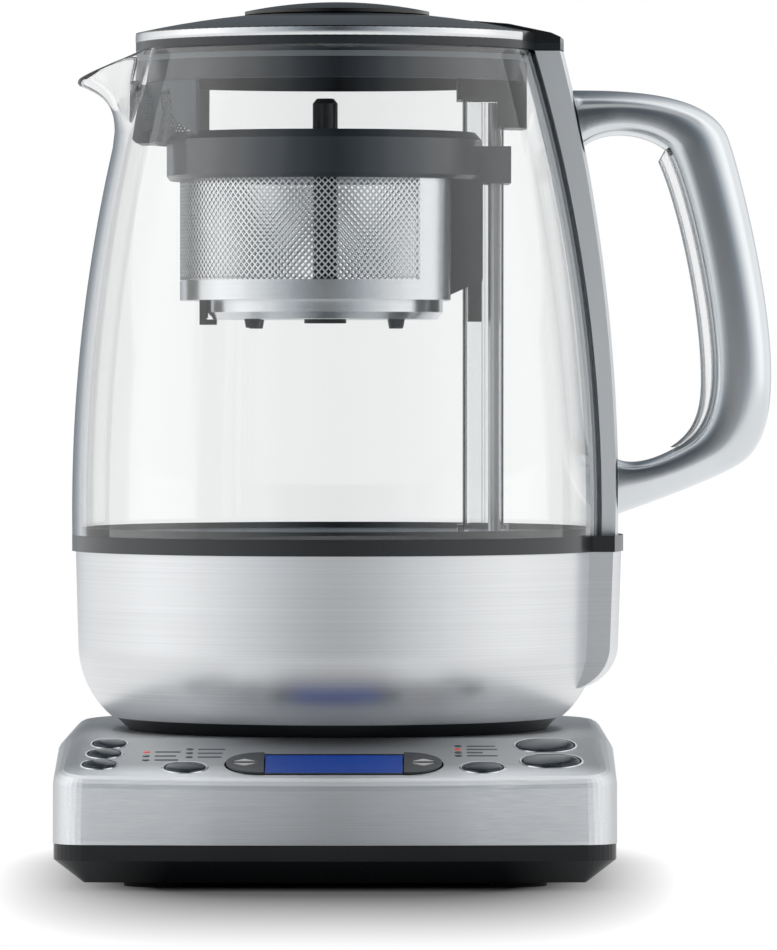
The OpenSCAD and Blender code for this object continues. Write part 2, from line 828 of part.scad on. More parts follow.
// The column's section with round corners, grown by grow all round.
module column_plan(grow = 0) {
    r = 2.4 + grow;
    w = column_w / 2 - 2.4;
    d = column_d / 2 - 2.4;
    translate([column_x, 0]) {
        square([2 * w, 2 * (d + r)], center = true);
        square([2 * (w + r), 2 * d], center = true);
        for (x = [-w, w], y = [-d, d]) translate([x, y]) circle(r);
    }
}

module lift_column() {
    foot_z = floor_z + 0.02;
    color(clear) on_axis() difference() {
        union() {
            translate([0, 0, foot_z]) linear_extrude(column_top_z - foot_z) column_plan();
            translate([0, 0, foot_z]) linear_extrude(2.4) column_plan(1.8);
        }
        difference() {
            translate([col_low_x + column_wall, -col_in_d / 2, foot_z - 1])
                cube([col_in_w, col_in_d, column_top_z - foot_z - 1]);
            for (side = [0, 1]) mirror([0, side, 0])
                translate([rib_x - rib_t / 2, slot_half, foot_z - 2])
                    cube([rib_t, col_in_d, column_top_z]);
        }
    }
}

module screw_seal() {
    color(grey) on_axis() translate([lift_screw_x, 0, floor_z - floor_t]) difference() {
        union() {
            cylinder(r = seal_r, h = floor_t);
            translate([0, 0, -1.6]) cylinder(r = 5, h = 1.55);
        }
        translate([0, 0, -3]) cylinder(r = screw_r + 0.15, h = 10);
    }
}

motor_low_z = jug_foot_z + 2.25;
motor_top_z = floor_z - 18.5;
column_top_z = rim_z - column_drop;

module lift_motor() {
    color("#9a9da0") on_axis() translate([lift_screw_x, 0, 0]) difference() {
        union() {
            translate([0, 0, motor_low_z]) cylinder(r = motor_r, h = motor_top_z - motor_low_z);
            translate([0, 0, motor_top_z]) cylinder(r = 4, h = 2);
        }
        translate([0, 0, motor_top_z - 6]) cylinder(r = 1.7, h = 10);
    }
}

screw_top_z = column_top_z - 4;

module drive_screw() {
    color(bright) on_axis() translate([lift_screw_x, 0, 0]) {
        translate([0, 0, motor_top_z - 5]) cylinder(r = 1.5, h = 8);
        translate([0, 0, motor_top_z + 2.3]) cylinder(r = 4, h = 9);
        translate([0, 0, motor_top_z + 11]) cylinder(r = screw_r, h = screw_top_z - motor_top_z - 11);
    }
}

// ---------- Handle ----------

function bezier(p, t) =
    pow(1 - t, 3) * p[0] + 3 * t * pow(1 - t, 2) * p[1] + 3 * t * t * (1 - t) * p[2]
    + pow(t, 3) * p[3];

// Edges of the handle seen from the front, in curves of four points each. The points are measured
// out from the spine plate and up from the band, for the reach and glass height given here.
grip_drawn = [44.9, 141.5];
grip_outer = [
    [[-15.7, 130.4], [5.3, 130.6], [28.3, 129.5], [32.6, 115.3]],
    [[32.6, 115.3], [35.8, 106], [44.9, 70], [44.9, 47]],
    [[44.9, 47], [44.9, 33], [41.8, 23.5], [34.1, 19.8]],
    [[34.1, 19.8], [27.3, 16], [14.3, 11], [-1.7, 5.4]]
];
grip_inner = [
    [[-12.7, 111.5], [-5.7, 120.5], [8.3, 117.5], [13.8, 113]],
    [[13.8, 113], [19.3, 104], [27.6, 68], [27.6, 48]],
    [[27.6, 48], [27.6, 36], [24.3, 29.5], [17.8, 26]],
    [[17.8, 26], [11.3, 22], [3.3, 19.4], [-2.1, 23]]
];
liner_inner = [
    [[11.9, 109.5], [17.3, 98], [24.5, 67], [24.5, 45]],
    [[24.5, 45], [24.5, 35], [21.8, 29.5], [15.5, 25.6]]
];

// A point on one of those curves, moved to where the handle stands.
function grip_point(curve, t) = let (p = bezier(curve, t)) [
    spine_reach + p[0] * (handle_reach - spine_reach) / grip_drawn[0],
    band_top_z + p[1] * glass_h / grip_drawn[1]
];

grip_steps = 10;
grip_sides = 28;

// Section of the grip: fully rounded outside, squarer inside; u runs inner to outer.
function grip_section(a) = let (p = cos(a) > 0 ? 2.4 : 5)
    [0.5 + 0.5 * sign(cos(a)) * pow(abs(cos(a)), 2 / p), sign(sin(a)) * pow(abs(sin(a)), 2 / p)];

function grip_ring(lo, hi, half, shape) = [
    for (i = [0:grip_sides - 1]) let (s = shape(i * 360 / grip_sides), c = lo + s[0] * (hi - lo))
        [c[0], s[1] * half, c[1]]
];

function liner_section(a) = let (p = 6)
    [0.5 + 0.5 * sign(cos(a)) * pow(abs(cos(a)), 2 / p), sign(sin(a)) * pow(abs(sin(a)), 2 / p)];

// Joins rings of points into one closed skin.
module loft(rings) {
    n = len(rings[0]);
    m = len(rings);
    points = [for (r = rings) for (p = r) p];
    sides = [
        for (j = [0:m - 2], i = [0:n - 1]) let (k = (i + 1) % n)
            each [
                [j * n + i, j * n + k, (j + 1) * n + k],
                [j * n + i, (j + 1) * n + k, (j + 1) * n + i]
            ]
    ];
    start = [[for (i = [n - 1:-1:0]) i]];
    finish = [[for (i = [0:n - 1]) (m - 1) * n + i]];
    polyhedron(points = points, faces = concat(sides, start, finish));
}

module handle_shell() {
    rings = [
        for (s = [0:3], i = [(s == 0 ? 0 : 1):grip_steps]) let (t = i / grip_steps)
            grip_ring(grip_point(grip_inner[s], t), grip_point(grip_outer[s], t), handle_half,
                function(a) grip_section(a))
    ];
    color(bright) on_axis() difference() {
        loft(rings);
        spine_solid(spine_reach, beyond / 2);
    }
}

module handle_liner() {
    rings = [
        for (s = [0:1], i = [(s == 0 ? 0 : 1):grip_steps]) let (t = i / grip_steps)
            grip_ring(grip_point(liner_inner[s], t), grip_point(grip_inner[s + 1], t),
                handle_half - 2.6, function(a) liner_section(a))
    ];
    color("#dfe2e4") on_axis() loft(rings);
}

spine_widest_z = band_top_z + 10;
spine_root_x = rim_r - 28;

// Everything inside the spine's outer curve within the given half depth.
module spine_solid(reach, half) {
    intersection() {
        rotate_extrude($fn = 180) intersection() {
            translate([reach - spine_curve_r, spine_widest_z]) circle(r = spine_curve_r, $fn = 720);
            translate([0, band_top_z + 0.02]) square([reach, glass_h - 0.02]);
        }
        translate([spine_root_x, -half, 0]) cube([beyond, 2 * half, beyond]);
    }
}

module handle_spine() {
    color(bright) on_axis() difference() {
        spine_solid(spine_reach, spine_half);
        rotate_extrude($fn = 180) glass_profile(-gasket_t, band_top_z - 5, rim_z + 5);
        screw_bars(2.05, 0, 3.2);
    }
}

module spine_gasket() {
    color(black) on_axis() intersection() {
        difference() {
            rotate_extrude($fn = 180) glass_profile(0.04 - gasket_t, band_top_z + 0.1, rim_z - 1);
            rotate_extrude($fn = 180) glass_profile(-0.04, band_top_z - 5, rim_z + 5);
        }
        translate([spine_root_x, 2 - spine_half, 0]) cube([beyond, 2 * spine_half - 4, beyond]);
        difference() {
            cylinder(r = beyond, h = beyond);
            screw_bars(2.05, -gasket_t - 1, 1);
        }
    }
}

handle_screw_z = [rim_z - handle_screw_in[0], band_top_z + handle_screw_in[1]];

// Bars along X at the handle's screws, from start to finish beyond the gasket.
module screw_bars(r, start, finish) {
    for (z = handle_screw_z) translate([glass_at(z) + gasket_t + start, 0, z])
        rotate([0, 90, 0]) cylinder(r = r, h = finish - start);
}

module handle_screws() {
    color("#8d8f92") on_axis() screw_bars(2, 0.1, 3.1);
}

// ---------- Lid ----------

lid_edge_z = rim_z + lid_gap;
lid_top_z = lid_edge_z + lid_rise;
lid_r = rim_r + lid_over;
skirt_z = rim_z - skirt_drop;

// Upper side of the steel lid: a shallow dome that turns down at its edge.
module lid_cap_profile(inset) {
    rise = lid_rise - 2.6;
    dome_r = (pow(lid_r - 3, 2) + pow(rise, 2)) / (2 * rise);
    intersection() {
        translate([0, lid_top_z - dome_r + 1.1]) circle(r = dome_r - inset, $fn = 720);
        translate([0, lid_edge_z]) square([lid_r - inset, lid_top_z - inset - lid_edge_z]);
    }
}

tail_reach = lid_r + 7.5;
tail_root_x = lid_r - 19;
tail_half = 13;

module lid_tail(inset) {
    intersection() {
        translate([0, tail_half - inset, 0]) rotate([90, 0, 0])
            linear_extrude(2 * (tail_half - inset))
                polygon([
                    [tail_root_x, lid_edge_z], [tail_reach - inset, lid_edge_z],
                    [tail_reach - inset, lid_edge_z + 1.2 - inset],
                    [tail_reach - 4, lid_edge_z + 3 - inset],
                    [tail_root_x + 10, lid_edge_z + 5.6 - inset],
                    [tail_root_x, lid_edge_z + 6.4 - inset]
                ]);
        cylinder(r = tail_reach - inset, h = beyond);
    }
}

module lid_cap() {
    color(slate) on_axis() difference() {
        union() {
            rotate_extrude($fn = 180) lid_cap_profile(0);
            lid_tail(0);
        }
        translate([0, 0, lid_edge_z - 5]) cylinder(r = lid_r - 3, h = 5 + 2.2);
        rotate_extrude($fn = 180) translate([0, -eps]) intersection() {
            lid_cap_profile(1.4);
            translate([0, lid_edge_z]) square([lid_r - 3, lid_rise]);
        }
        translate([0, 0, lid_edge_z - 5]) lid_tail_room();
    }
}

module lid_tail_room() {
    translate([tail_root_x, 1.4 - tail_half, 0])
        cube([tail_reach - tail_root_x - 2, 2 * tail_half - 2.8, 6.2]);
}

module lid_knob() {
    low = lid_top_z + 0.02;
    crown_r = (pow(knob_r, 2) + pow(knob_crown, 2)) / (2 * knob_crown);
    color(black) on_axis() {
        translate([0, 0, low]) cylinder(r = knob_r, h = knob_edge);
        intersection() {
            translate([0, 0, low + knob_edge + knob_crown - crown_r])
                sphere(r = crown_r, $fn = 180);
            translate([0, 0, low + knob_edge - eps]) cylinder(r = knob_r, h = 20);
        }
    }
}

lid_ring_z = rim_z + 0.3;

module lid_skirt() {
    top = lid_edge_z + 2.15;
    color(slate) on_axis() difference() {
        union() {
            translate([0, 0, lid_ring_z]) cylinder(r = lid_r, h = lid_edge_z - lid_ring_z - 0.02);
            translate([0, 0, skirt_z]) cylinder(r = skirt_r, h = top - skirt_z);
            intersection() {
                translate([tail_root_x, -tail_half, lid_ring_z])
                    cube([tail_reach, 2 * tail_half, lid_edge_z - lid_ring_z - 0.02]);
                cylinder(r = tail_reach, h = beyond);
            }
        }
        translate([0, 0, skirt_z - 1]) cylinder(r = skirt_r - skirt_wall, h = 30);
    }
}

seal_z = rim_z - 3.5;

module lid_seal() {
    color("#9aa3a8") on_axis() translate([0, 0, seal_z]) difference() {
        cylinder(r = skirt_r + 0.3, h = 1.6);
        translate([0, 0, -1]) cylinder(r = skirt_r + 0.02, h = 4);
    }
}

cap_top_z = skirt_z + 1.5;
cap_low_z = column_top_z - 11.6;
cap_inner_low_z = column_top_z - 3.4;

module column_cap() {
    color(slate) on_axis() difference() {
        intersection() {
            union() {
                translate([col_low_x - 1.7, -column_d / 2 - 2, cap_inner_low_z])
                    cube([skirt_r, column_d + 4, cap_top_z - cap_inner_low_z]);
                translate([col_high_x - 2, -column_d / 2 - 2, cap_low_z])
                    cube([skirt_r, column_d + 4, cap_top_z - cap_low_z]);
            }
            cylinder(r = skirt_r - 0.1, h = beyond);
        }
        translate([0, 0, cap_low_z - 1]) linear_extrude(column_top_z + 0.35 - cap_low_z + 1)
            column_plan(slide_gap);
        difference() {
            translate([0, 0, skirt_z - 0.02]) cylinder(r = skirt_r + 5, h = 20);
            translate([0, 0, skirt_z - 1]) cylinder(r = skirt_r - skirt_wall - 0.02, h = 30);
        }
    }
}

filter_low_z = skirt_z - filter_drop;
filter_half_angle = 44;
filter_t = 1.4;
nose_half = 9;
nose_reach = skirt_r + 3.9;
nose_back = skirt_r - 2.7;

// Curved shield with a box nose that reaches into the spout.
module filter_shield(r, t, half_angle) {
    rotate([0, 0, 180 - half_angle]) rotate_extrude(angle = 2 * half_angle, $fn = 180)
        translate([r - t, filter_low_z]) square([t, filter_drop + 1.2]);
}

// The nose reaches into the spout; its front leans out with the glass. Drawn in by inset.
module filter_nose(inset) {
    lean = 2.2;
    top = skirt_z - 0.4;
    translate([0, nose_half - inset, 0]) rotate([90, 0, 0])
        linear_extrude(2 * (nose_half - inset))
            polygon([
                [-nose_back - (inset > 0 ? -20 : 0), filter_low_z + inset],
                [1.5 + inset - nose_reach, filter_low_z + inset],
                [inset - nose_reach, filter_low_z + 1.5 + inset / 2],
                [lean + inset - nose_reach, top + (inset > 0 ? 20 : 0)],
                [-nose_back - (inset > 0 ? -20 : 0), top + (inset > 0 ? 20 : 0)]
            ]);
}

side_window_angle = 29;

// The slanting windows left and right of the nose, drawn in by inset.
module side_windows(inset) {
    w = 6.4 - 2 * inset;
    h = 11.6 - 2 * inset;
    for (side = [-1, 1]) rotate([0, 0, 180 + side * side_window_angle])
        translate([skirt_r - 1, 0, (filter_low_z + skirt_z) / 2 + 0.4]) rotate([side * 14, 0, 0])
            cube([8, w, h], center = true);
}

module front_window() {
    translate([-nose_reach - 20, 2.2 - nose_half, filter_low_z + 3.4])
        cube([24, 2 * nose_half - 4.4, filter_drop - 6.4]);
}

module filter_frame() {
    r = skirt_r - 0.4;
    color("#7f868b") on_axis() difference() {
        union() {
            difference() {
                filter_shield(r, filter_t, filter_half_angle);
                for (side = [-1, 1]) translate([-40, side * 38, filter_low_z - 8])
                    rotate([-side * 34, 0, 0]) translate([-40, -20, -12]) cube([80, 40, 20]);
            }
            filter_nose(0);
        }
        filter_nose(1.2);
        front_window();
        side_windows(0);
        difference() {
            translate([0, 0, skirt_z - 0.02]) cylinder(r = skirt_r + 9, h = 20);
            translate([0, 0, skirt_z - 1]) cylinder(r = skirt_r - skirt_wall - 0.02, h = 30);
        }
    }
}

module filter_mesh() {
    mesh_t = 0.4;
    color("#b9bcc0") on_axis() {
        intersection() {
            difference() {
                filter_nose(1.25);
                translate([mesh_t, 0, -mesh_t]) filter_nose(1.25);
            }
            translate([-nose_reach - 20, -nose_half, filter_low_z + 2.6])
                cube([24, 2 * nose_half, filter_drop - 4]);
        }
        intersection() {
            filter_shield(skirt_r - 0.4 - mesh_t, mesh_t, filter_half_angle);
            side_windows(0.02);
        }
    }
}

// ---------- Tea basket ----------

basket_flat_x = col_low_x - slide_gap - 3.3;
flat_reach = basket_flat_x + basket_shift;
flat_corner_r = 5;
collar_z = rim_z - collar_drop;
collar_top_z = collar_z + collar_h;
collar_r = basket_r + collar_out;
basket_top_z = collar_top_z - 1.3;
basket_low_z = basket_top_z - basket_h;
pan_r = basket_r - pan_step;
post_top_z = collar_top_z + post_rise;

// Everything on the basket's side of a plane across X.
module left_of(x) {
    translate([x - beyond, -beyond / 2]) square([beyond, beyond]);
}

// The basket's plan: round, with a flat towards the column; drawn in by inset.
module basket_plan(inset = 0) {
    r = basket_r - inset;
    f = flat_reach - inset - 0.1;
    c = flat_corner_r - inset;
    cy = sqrt(pow(r - c, 2) - pow(f - c, 2));
    tx = (f - c) * r / (r - c);
    translate([-basket_shift, 0]) {
        intersection() {
            circle(r);
            left_of(tx);
        }
        translate([0, -cy]) square([f, 2 * cy]);
        for (side = [-1, 1]) translate([f - c, side * cy]) circle(c);
    }
}

module basket_wall() {
    color(bright) on_axis() translate([0, 0, basket_low_z])
        linear_extrude(basket_top_z - basket_low_z) difference() {
            basket_plan();
            basket_plan(basket_wall_t);
        }
}

sleeve_reach = col_high_x + 2;
sleeve_half = column_d / 2 + 2.3;
bracket_low_z = collar_z - 33.4;
bracket_reach = column_x - 0.3;

module collar_body() {
    low_r = collar_r - 1;
    translate([-basket_shift, 0, 0]) {
        translate([0, 0, collar_z]) cylinder(r1 = low_r, r2 = collar_r, h = 1.2);
        translate([0, 0, collar_z + 1.2 - eps])
            cylinder(r = collar_r, h = collar_h - 1.2 + eps);
        translate([0, 0, collar_top_z - eps])
            cylinder(r1 = collar_r, r2 = collar_r - 2, h = 2.3);
    }
    translate([column_x - 8, -sleeve_half, collar_z - 0.9])
        cube([sleeve_reach - column_x + 8, 2 * sleeve_half, collar_h - 0.8]);
    translate([basket_flat_x, -sleeve_half, bracket_low_z])
        cube([bracket_reach - basket_flat_x, 2 * sleeve_half, collar_z - bracket_low_z]);
}

module basket_collar() {
    lip_r = basket_r + 0.4;
    color(grey) on_axis() difference() {
        collar_body();
        translate([0, 0, collar_z - 2]) linear_extrude(40) intersection() {
            basket_plan(-0.05);
            left_of(basket_flat_x - 0.02);
        }
        translate([0, 0, bracket_low_z - 2]) linear_extrude(beyond) column_plan(slide_gap);
        translate([-basket_shift, 0, collar_top_z - 0.4]) linear_extrude(20) intersection() {
            circle(r = lip_r);
            left_of(flat_reach - 0.02);
        }
        translate([basket_flat_x, 0, bracket_low_z]) rotate([0, -24.5, 0])
            translate([-5, -20, -20]) cube([40, 40, 20]);
        for (z = magnet_z) translate([basket_flat_x - 0.1, -4, z]) cube([2.3, 8, magnet_h]);
    }
}

magnet_z = [collar_z - 25.7, collar_z - 12.7];
magnet_h = 10;

module basket_magnets() {
    color("#6d7175") on_axis()
        for (z = magnet_z) translate([basket_flat_x + 0.02, -3.98, z + 0.02])
            cube([2.1, 7.96, magnet_h - 0.04]);
}

module basket_pan() {
    low = basket_low_z - pan_h;
    color(bright) on_axis() difference() {
        union() {
            translate([0, 0, basket_low_z]) linear_extrude(0.8) basket_plan(basket_wall_t + 0.02);
            translate([-basket_shift, 0, low + 2]) cylinder(r = pan_r, h = pan_h - 2 + 0.01);
            translate([-basket_shift, 0, low]) cylinder(r1 = pan_r - 1.6, r2 = pan_r, h = 2.01);
        }
        translate([-basket_shift, 0, low + 0.8]) cylinder(r = pan_r - 1.9, h = 20);
        translate([-basket_shift, 0, low - 1]) cylinder(r = 3, h = 5);
    }
}

knob_angles = [46, 134, 226, 314];

// Four small knobs under the pan, a catch at the left and the vent's cover in the middle.
module basket_clips() {
    low = basket_low_z - pan_h;
    color(grey) on_axis() translate([-basket_shift, 0, 0]) {
        for (a = knob_angles) rotate([0, 0, a])
            translate([pan_r - 4.5, 0, low - 2.6]) cylinder(r1 = 2, r2 = 2.5, h = 2.55);
        translate([-pan_r - 2.4, -3, low + 0.4]) cube([2.38, 6, pan_h - 0.45]);
        translate([-pan_r - 2.4, -3, low - 1.6]) cube([5, 6, 1.55]);
        translate([-pan_r - 2.4, -3, low - 0.1]) cube([2, 6, 0.6]);
        translate([0, 0, low - 1.2]) cylinder(r = 6.2, h = 1.15);
        translate([0, 0, low - 0.1]) cylinder(r = 2.9, h = 2.4);
    }
}

lid_disc_z = basket_top_z - 1.2;

module basket_lid() {
    color(bright) on_axis() difference() {
        union() {
            translate([0, 0, lid_disc_z]) linear_extrude(1.25) basket_plan(basket_wall_t + 0.35);
            translate([0, 0, basket_top_z + 0.05]) linear_extrude(1) intersection() {
                basket_plan(0.2);
                left_of(basket_flat_x - 0.8);
            }
        }
        translate([-basket_shift, 0, 0]) cylinder(r = post_r + 0.02, h = beyond);
        for (ring = [1:4], i = [0:ring * 8 - 1])
            translate([-basket_shift, 0, 0]) rotate([0, 0, i * 45 / ring])
                translate([3 + ring * 8, 0, 0]) cylinder(r = 1.3, h = beyond, $fn = 16);
    }
}

module basket_post() {
    low = basket_low_z + 2;
    color(black) on_axis() translate([-basket_shift, 0, 0]) {
        translate([0, 0, low]) cylinder(r = post_r, h = post_top_z - 1.5 - low);
        translate([0, 0, post_top_z - 1.5 - eps])
            cylinder(r1 = post_r, r2 = post_r - 1.2, h = 1.5 + eps);
        translate([0, 0, lid_disc_z + 2.3]) cylinder(r = post_r + 3, h = 1);
    }
}

// ---------- Lift shuttle ----------

shuttle_low_z = collar_z - 41.3;
shuttle_top_z = collar_z + 8.3;
nut_low_z = collar_z + 1.3;
shuttle_x = col_low_x + column_wall + 0.3;
shuttle_w = rib_x - rib_t / 2 - 0.25 - shuttle_x;

module magnet_shuttle() {
    half = col_in_d / 2 - 0.3;
    color("#2b3036") on_axis() difference() {
        union() {
            translate([shuttle_x, -half, shuttle_low_z])
                cube([shuttle_w, 2 * half, shuttle_top_z - shuttle_low_z]);
            translate([shuttle_x, -slot_half + 0.3, nut_low_z])
                cube([col_in_w - 0.6, 2 * slot_half - 0.6, shuttle_top_z - nut_low_z]);
        }
        translate([lift_screw_x, 0, nut_low_z - 1]) cylinder(r = screw_r + 0.15, h = 20);
        for (z = magnet_z) translate([shuttle_x - 0.1, -4, z]) cube([1.9, 8, magnet_h]);
    }
}

module shuttle_magnets() {
    color("#6d7175") on_axis()
        for (z = magnet_z) translate([shuttle_x + 0.02, -3.98, z + 0.02])
            cube([1.7, 7.96, magnet_h - 0.04]);
}

base_cover();
base_tray();
base_feet();
base_screws();
socket_ring();
power_connector();
connector_pins();
panel_carrier();
control_board();
key_switches();
indicator_lights();
display_window();
display_module();
power_board();
buzzer();
cord_inlet();
small_button_1();
small_button_2();
small_button_3();
mid_button_1();
mid_button_2();
large_button_1();
large_button_2();
arrow_key_1();
arrow_key_2();
jug_glass();
jug_band();
jug_shell();
jug_foot();
heater_plate();
heating_element();
jug_connector();
temperature_sensor();
lift_column();
screw_seal();
lift_motor();
drive_screw();
handle_shell();
handle_liner();
handle_spine();
spine_gasket();
handle_screws();
lid_cap();
lid_knob();
lid_skirt();
lid_seal();
column_cap();
filter_frame();
filter_mesh();
magnet_shuttle();
shuttle_magnets();
basket_collar();
basket_wall();
basket_pan();
basket_clips();
basket_magnets();
basket_lid();
basket_post();
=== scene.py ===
"""Looks for the automatic tea maker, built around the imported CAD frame.

Lengths named here are in millimetres and are turned into metres by mm(). Pieces on the jug are
placed from the jug's axis, pieces on the control panel from the panel's own slope.
"""

import math

import bmesh
import bpy
from mathutils import Matrix, Vector


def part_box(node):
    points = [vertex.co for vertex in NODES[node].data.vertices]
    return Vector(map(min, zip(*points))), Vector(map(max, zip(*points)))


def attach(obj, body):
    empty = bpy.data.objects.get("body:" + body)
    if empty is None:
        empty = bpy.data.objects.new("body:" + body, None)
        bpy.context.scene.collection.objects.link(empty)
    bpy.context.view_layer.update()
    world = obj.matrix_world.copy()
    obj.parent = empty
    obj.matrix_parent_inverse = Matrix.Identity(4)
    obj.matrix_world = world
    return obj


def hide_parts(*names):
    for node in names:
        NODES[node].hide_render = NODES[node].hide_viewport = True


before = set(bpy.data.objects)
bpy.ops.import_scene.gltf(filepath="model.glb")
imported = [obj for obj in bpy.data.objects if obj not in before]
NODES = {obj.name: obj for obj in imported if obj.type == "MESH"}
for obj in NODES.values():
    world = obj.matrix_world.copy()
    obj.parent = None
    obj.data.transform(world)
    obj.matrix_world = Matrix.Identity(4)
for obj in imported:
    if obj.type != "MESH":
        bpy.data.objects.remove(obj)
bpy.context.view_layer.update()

PHOTO_H = 950  # the picture's height in pixels


def mm(*values):
    """Millimetres as metres: one number, or a vector of several."""
    return values[0] * 0.001 if len(values) == 1 else Vector(values) * 0.001


knob_lo, knob_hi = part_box("lid_knob")
AXIS = Vector(((knob_lo.x + knob_hi.x) / 2, (knob_lo.y + knob_hi.y) / 2, 0))

# ---------- Camera ----------

CAMERA_DISTANCE = 2190
CAMERA_HEIGHT = 145.4
CAMERA_SIDE = 15.1
CAMERA_CLIP = (0.1, 50)  # metres
HORIZON_PX = 373
SCALE_PX = 3.4  # photo pixels for a millimetre at the jug's axis
SENSOR = 36


def make_camera():
    """The photo's camera, which looks down a little: the horizon lies above the middle."""
    focal_px = SCALE_PX * CAMERA_DISTANCE
    data = bpy.data.cameras.new("camera")
    data.sensor_width = SENSOR
    data.lens = focal_px * SENSOR / PHOTO_H
    data.clip_start, data.clip_end = CAMERA_CLIP
    camera = bpy.data.objects.new("camera", data)
    bpy.context.scene.collection.objects.link(camera)
    camera.location = AXIS + mm(CAMERA_SIDE, -CAMERA_DISTANCE, CAMERA_HEIGHT)
    tilt = math.atan((PHOTO_H / 2 - HORIZON_PX) / focal_px)
    camera.rotation_euler = (math.pi / 2 - tilt, 0, 0)
    bpy.context.scene.camera = camera


# ---------- Materials ----------


NOISE_LOW, NOISE_HIGH = 0.3, 0.7  # most of a noise's values lie between these


class Shader:
    """A material whose nodes are added and linked one call at a time."""

    def __init__(self, name):
        self.mat = bpy.data.materials.new(name)
        self.mat.use_nodes = True
        self.tree = self.mat.node_tree
        by_type = {n.type: n for n in self.tree.nodes}
        self.out = by_type["OUTPUT_MATERIAL"]
        self.bsdf = by_type["BSDF_PRINCIPLED"]
        self.place = self.add("ShaderNodeTexCoord").outputs["Object"]

    def add(self, kind, inputs=None, **settings):
        """A new node; an input may be a value or another node's output."""
        node = self.tree.nodes.new(kind)
        for key, value in settings.items():
            setattr(node, key, value)
        for key, value in (inputs or {}).items():
            self.put(node.inputs[key], value)
        return node

    def put(self, socket, value):
        if isinstance(value, bpy.types.NodeSocket):
            self.tree.links.new(value, socket)
        else:
            socket.default_value = value

    def set(self, **values):
        """Sets the shader's own sockets; underscores in a name stand for spaces."""
        for key, value in values.items():
            self.put(self.bsdf.inputs[key.replace("_", " ")], value)
        return self

    def calc(self, operation, first, second=0.0):
        """The result of one sum; each part is a number or another node's output."""
        return self.add("ShaderNodeMath", {0: first, 1: second}, operation=operation).outputs[0]

    def vectors(self, operation, first, second):
        inputs = {0: first, 1: second}
        return self.add("ShaderNodeVectorMath", inputs, operation=operation).outputs["Vector"]

    def ranged(self, value, low, high):
        """0 up to low, 1 from high on, and an even rise between them."""
        inputs = {"Value": value, "From Min": low, "From Max": high}
        return self.add("ShaderNodeMapRange", inputs).outputs["Result"]

    def from_axis(self):
        """The way from the jug's axis, as outputs named X, Y and Z."""
        return self.add(
            "ShaderNodeSeparateXYZ", {0: self.vectors("SUBTRACT", self.place, AXIS)}
        ).outputs

    def blend(self, factor, first, second):
        """Shows first where factor is 0 and second where it is 1."""
        mixed = self.add("ShaderNodeMixShader", {0: factor, 1: first, 2: second})
        self.put(self.out.inputs["Surface"], mixed.outputs[0])

    def noise(self, scale, stretch=(1, 1, 1), detail=3, rough=0.55):
        laid = self.add("ShaderNodeMapping", {"Vector": self.place, "Scale": stretch})
        inputs = {"Vector": laid.outputs[0], "Scale": scale, "Detail": detail, "Roughness": rough}
        return self.add("ShaderNodeTexNoise", inputs).outputs["Fac"]

    def tones(self, factor, low, high, start=NOISE_LOW, end=NOISE_HIGH):
        """A colour that runs from low to high as factor runs from start to end."""
        node = self.add("ShaderNodeValToRGB", {"Fac": factor})
        node.color_ramp.elements[0].position = start
        node.color_ramp.elements[1].position = end
        node.color_ramp.elements[0].color = (*low, 1)
        node.color_ramp.elements[1].color = (*high, 1)
        return node.outputs["Color"]

    def between(self, factor, low, high):
        """A number that runs from low to high as a noise runs through its values."""
        inputs = {"Value": factor, "From Min": NOISE_LOW, "From Max": NOISE_HIGH}
        inputs |= {"To Min": low, "To Max": high}
        return self.add("ShaderNodeMapRange", inputs).outputs["Result"]

    def bump(self, height, strength, depth):
        inputs = {"Height": height, "Strength": strength, "Distance": mm(depth)}
        self.put(self.bsdf.inputs["Normal"], self.add("ShaderNodeBump", inputs).outputs["Normal"])
        return self


def srgb(code):
    """A #rrggbb colour as linear values."""
    parts = [int(code[i : i + 2], 16) / 255 for i in (1, 3, 5)]
    return tuple(p / 12.92 if p <= 0.04045 else ((p + 0.055) / 1.055) ** 2.4 for p in parts)


def shade(colour, by):
    return tuple(min(1, c * by) for c in colour)


# The base's front face, in mm from the jug's axis: where its painted sheen, a lighter colour, sets
# in, along Y, and the stops of its brightness, along X to both sides.
FRONT_Y = (-88, -97)
FRONT_MIDWAY, FRONT_SIDES = 2, 44
FRONT_CORNER, FRONT_END = 72, 79


def painted_sheen_tone(s, tone, midway, sides):
    """The tone made lighter on the front face by a painted sheen: that much midway, and at both
    sides.
    """
    most = max(midway, sides)
    place = s.from_axis()
    lift = s.tones(
        s.calc("ABSOLUTE", place["X"]), (midway / most,) * 3, (sides / most,) * 3,
        mm(FRONT_MIDWAY), mm(FRONT_SIDES),
    )
    for stop, gain in ((FRONT_CORNER, sides / most), (FRONT_END, 1 / most)):
        lift.node.color_ramp.elements.new(mm(stop)).color = (gain, gain, gain, 1)
    lift = s.vectors("MULTIPLY", lift, (most,) * 3)
    ahead = s.ranged(place["Y"], mm(FRONT_Y[0]), mm(FRONT_Y[1]))
    # Inputs 4 and 5 of the node are the vectors that it mixes, and output 1 is what comes of them.
    inputs = {"Factor": ahead, 4: (1, 1, 1), 5: lift}
    lift = s.add("ShaderNodeMix", inputs, data_type="VECTOR").outputs[1]
    return s.vectors("MULTIPLY", tone, lift)


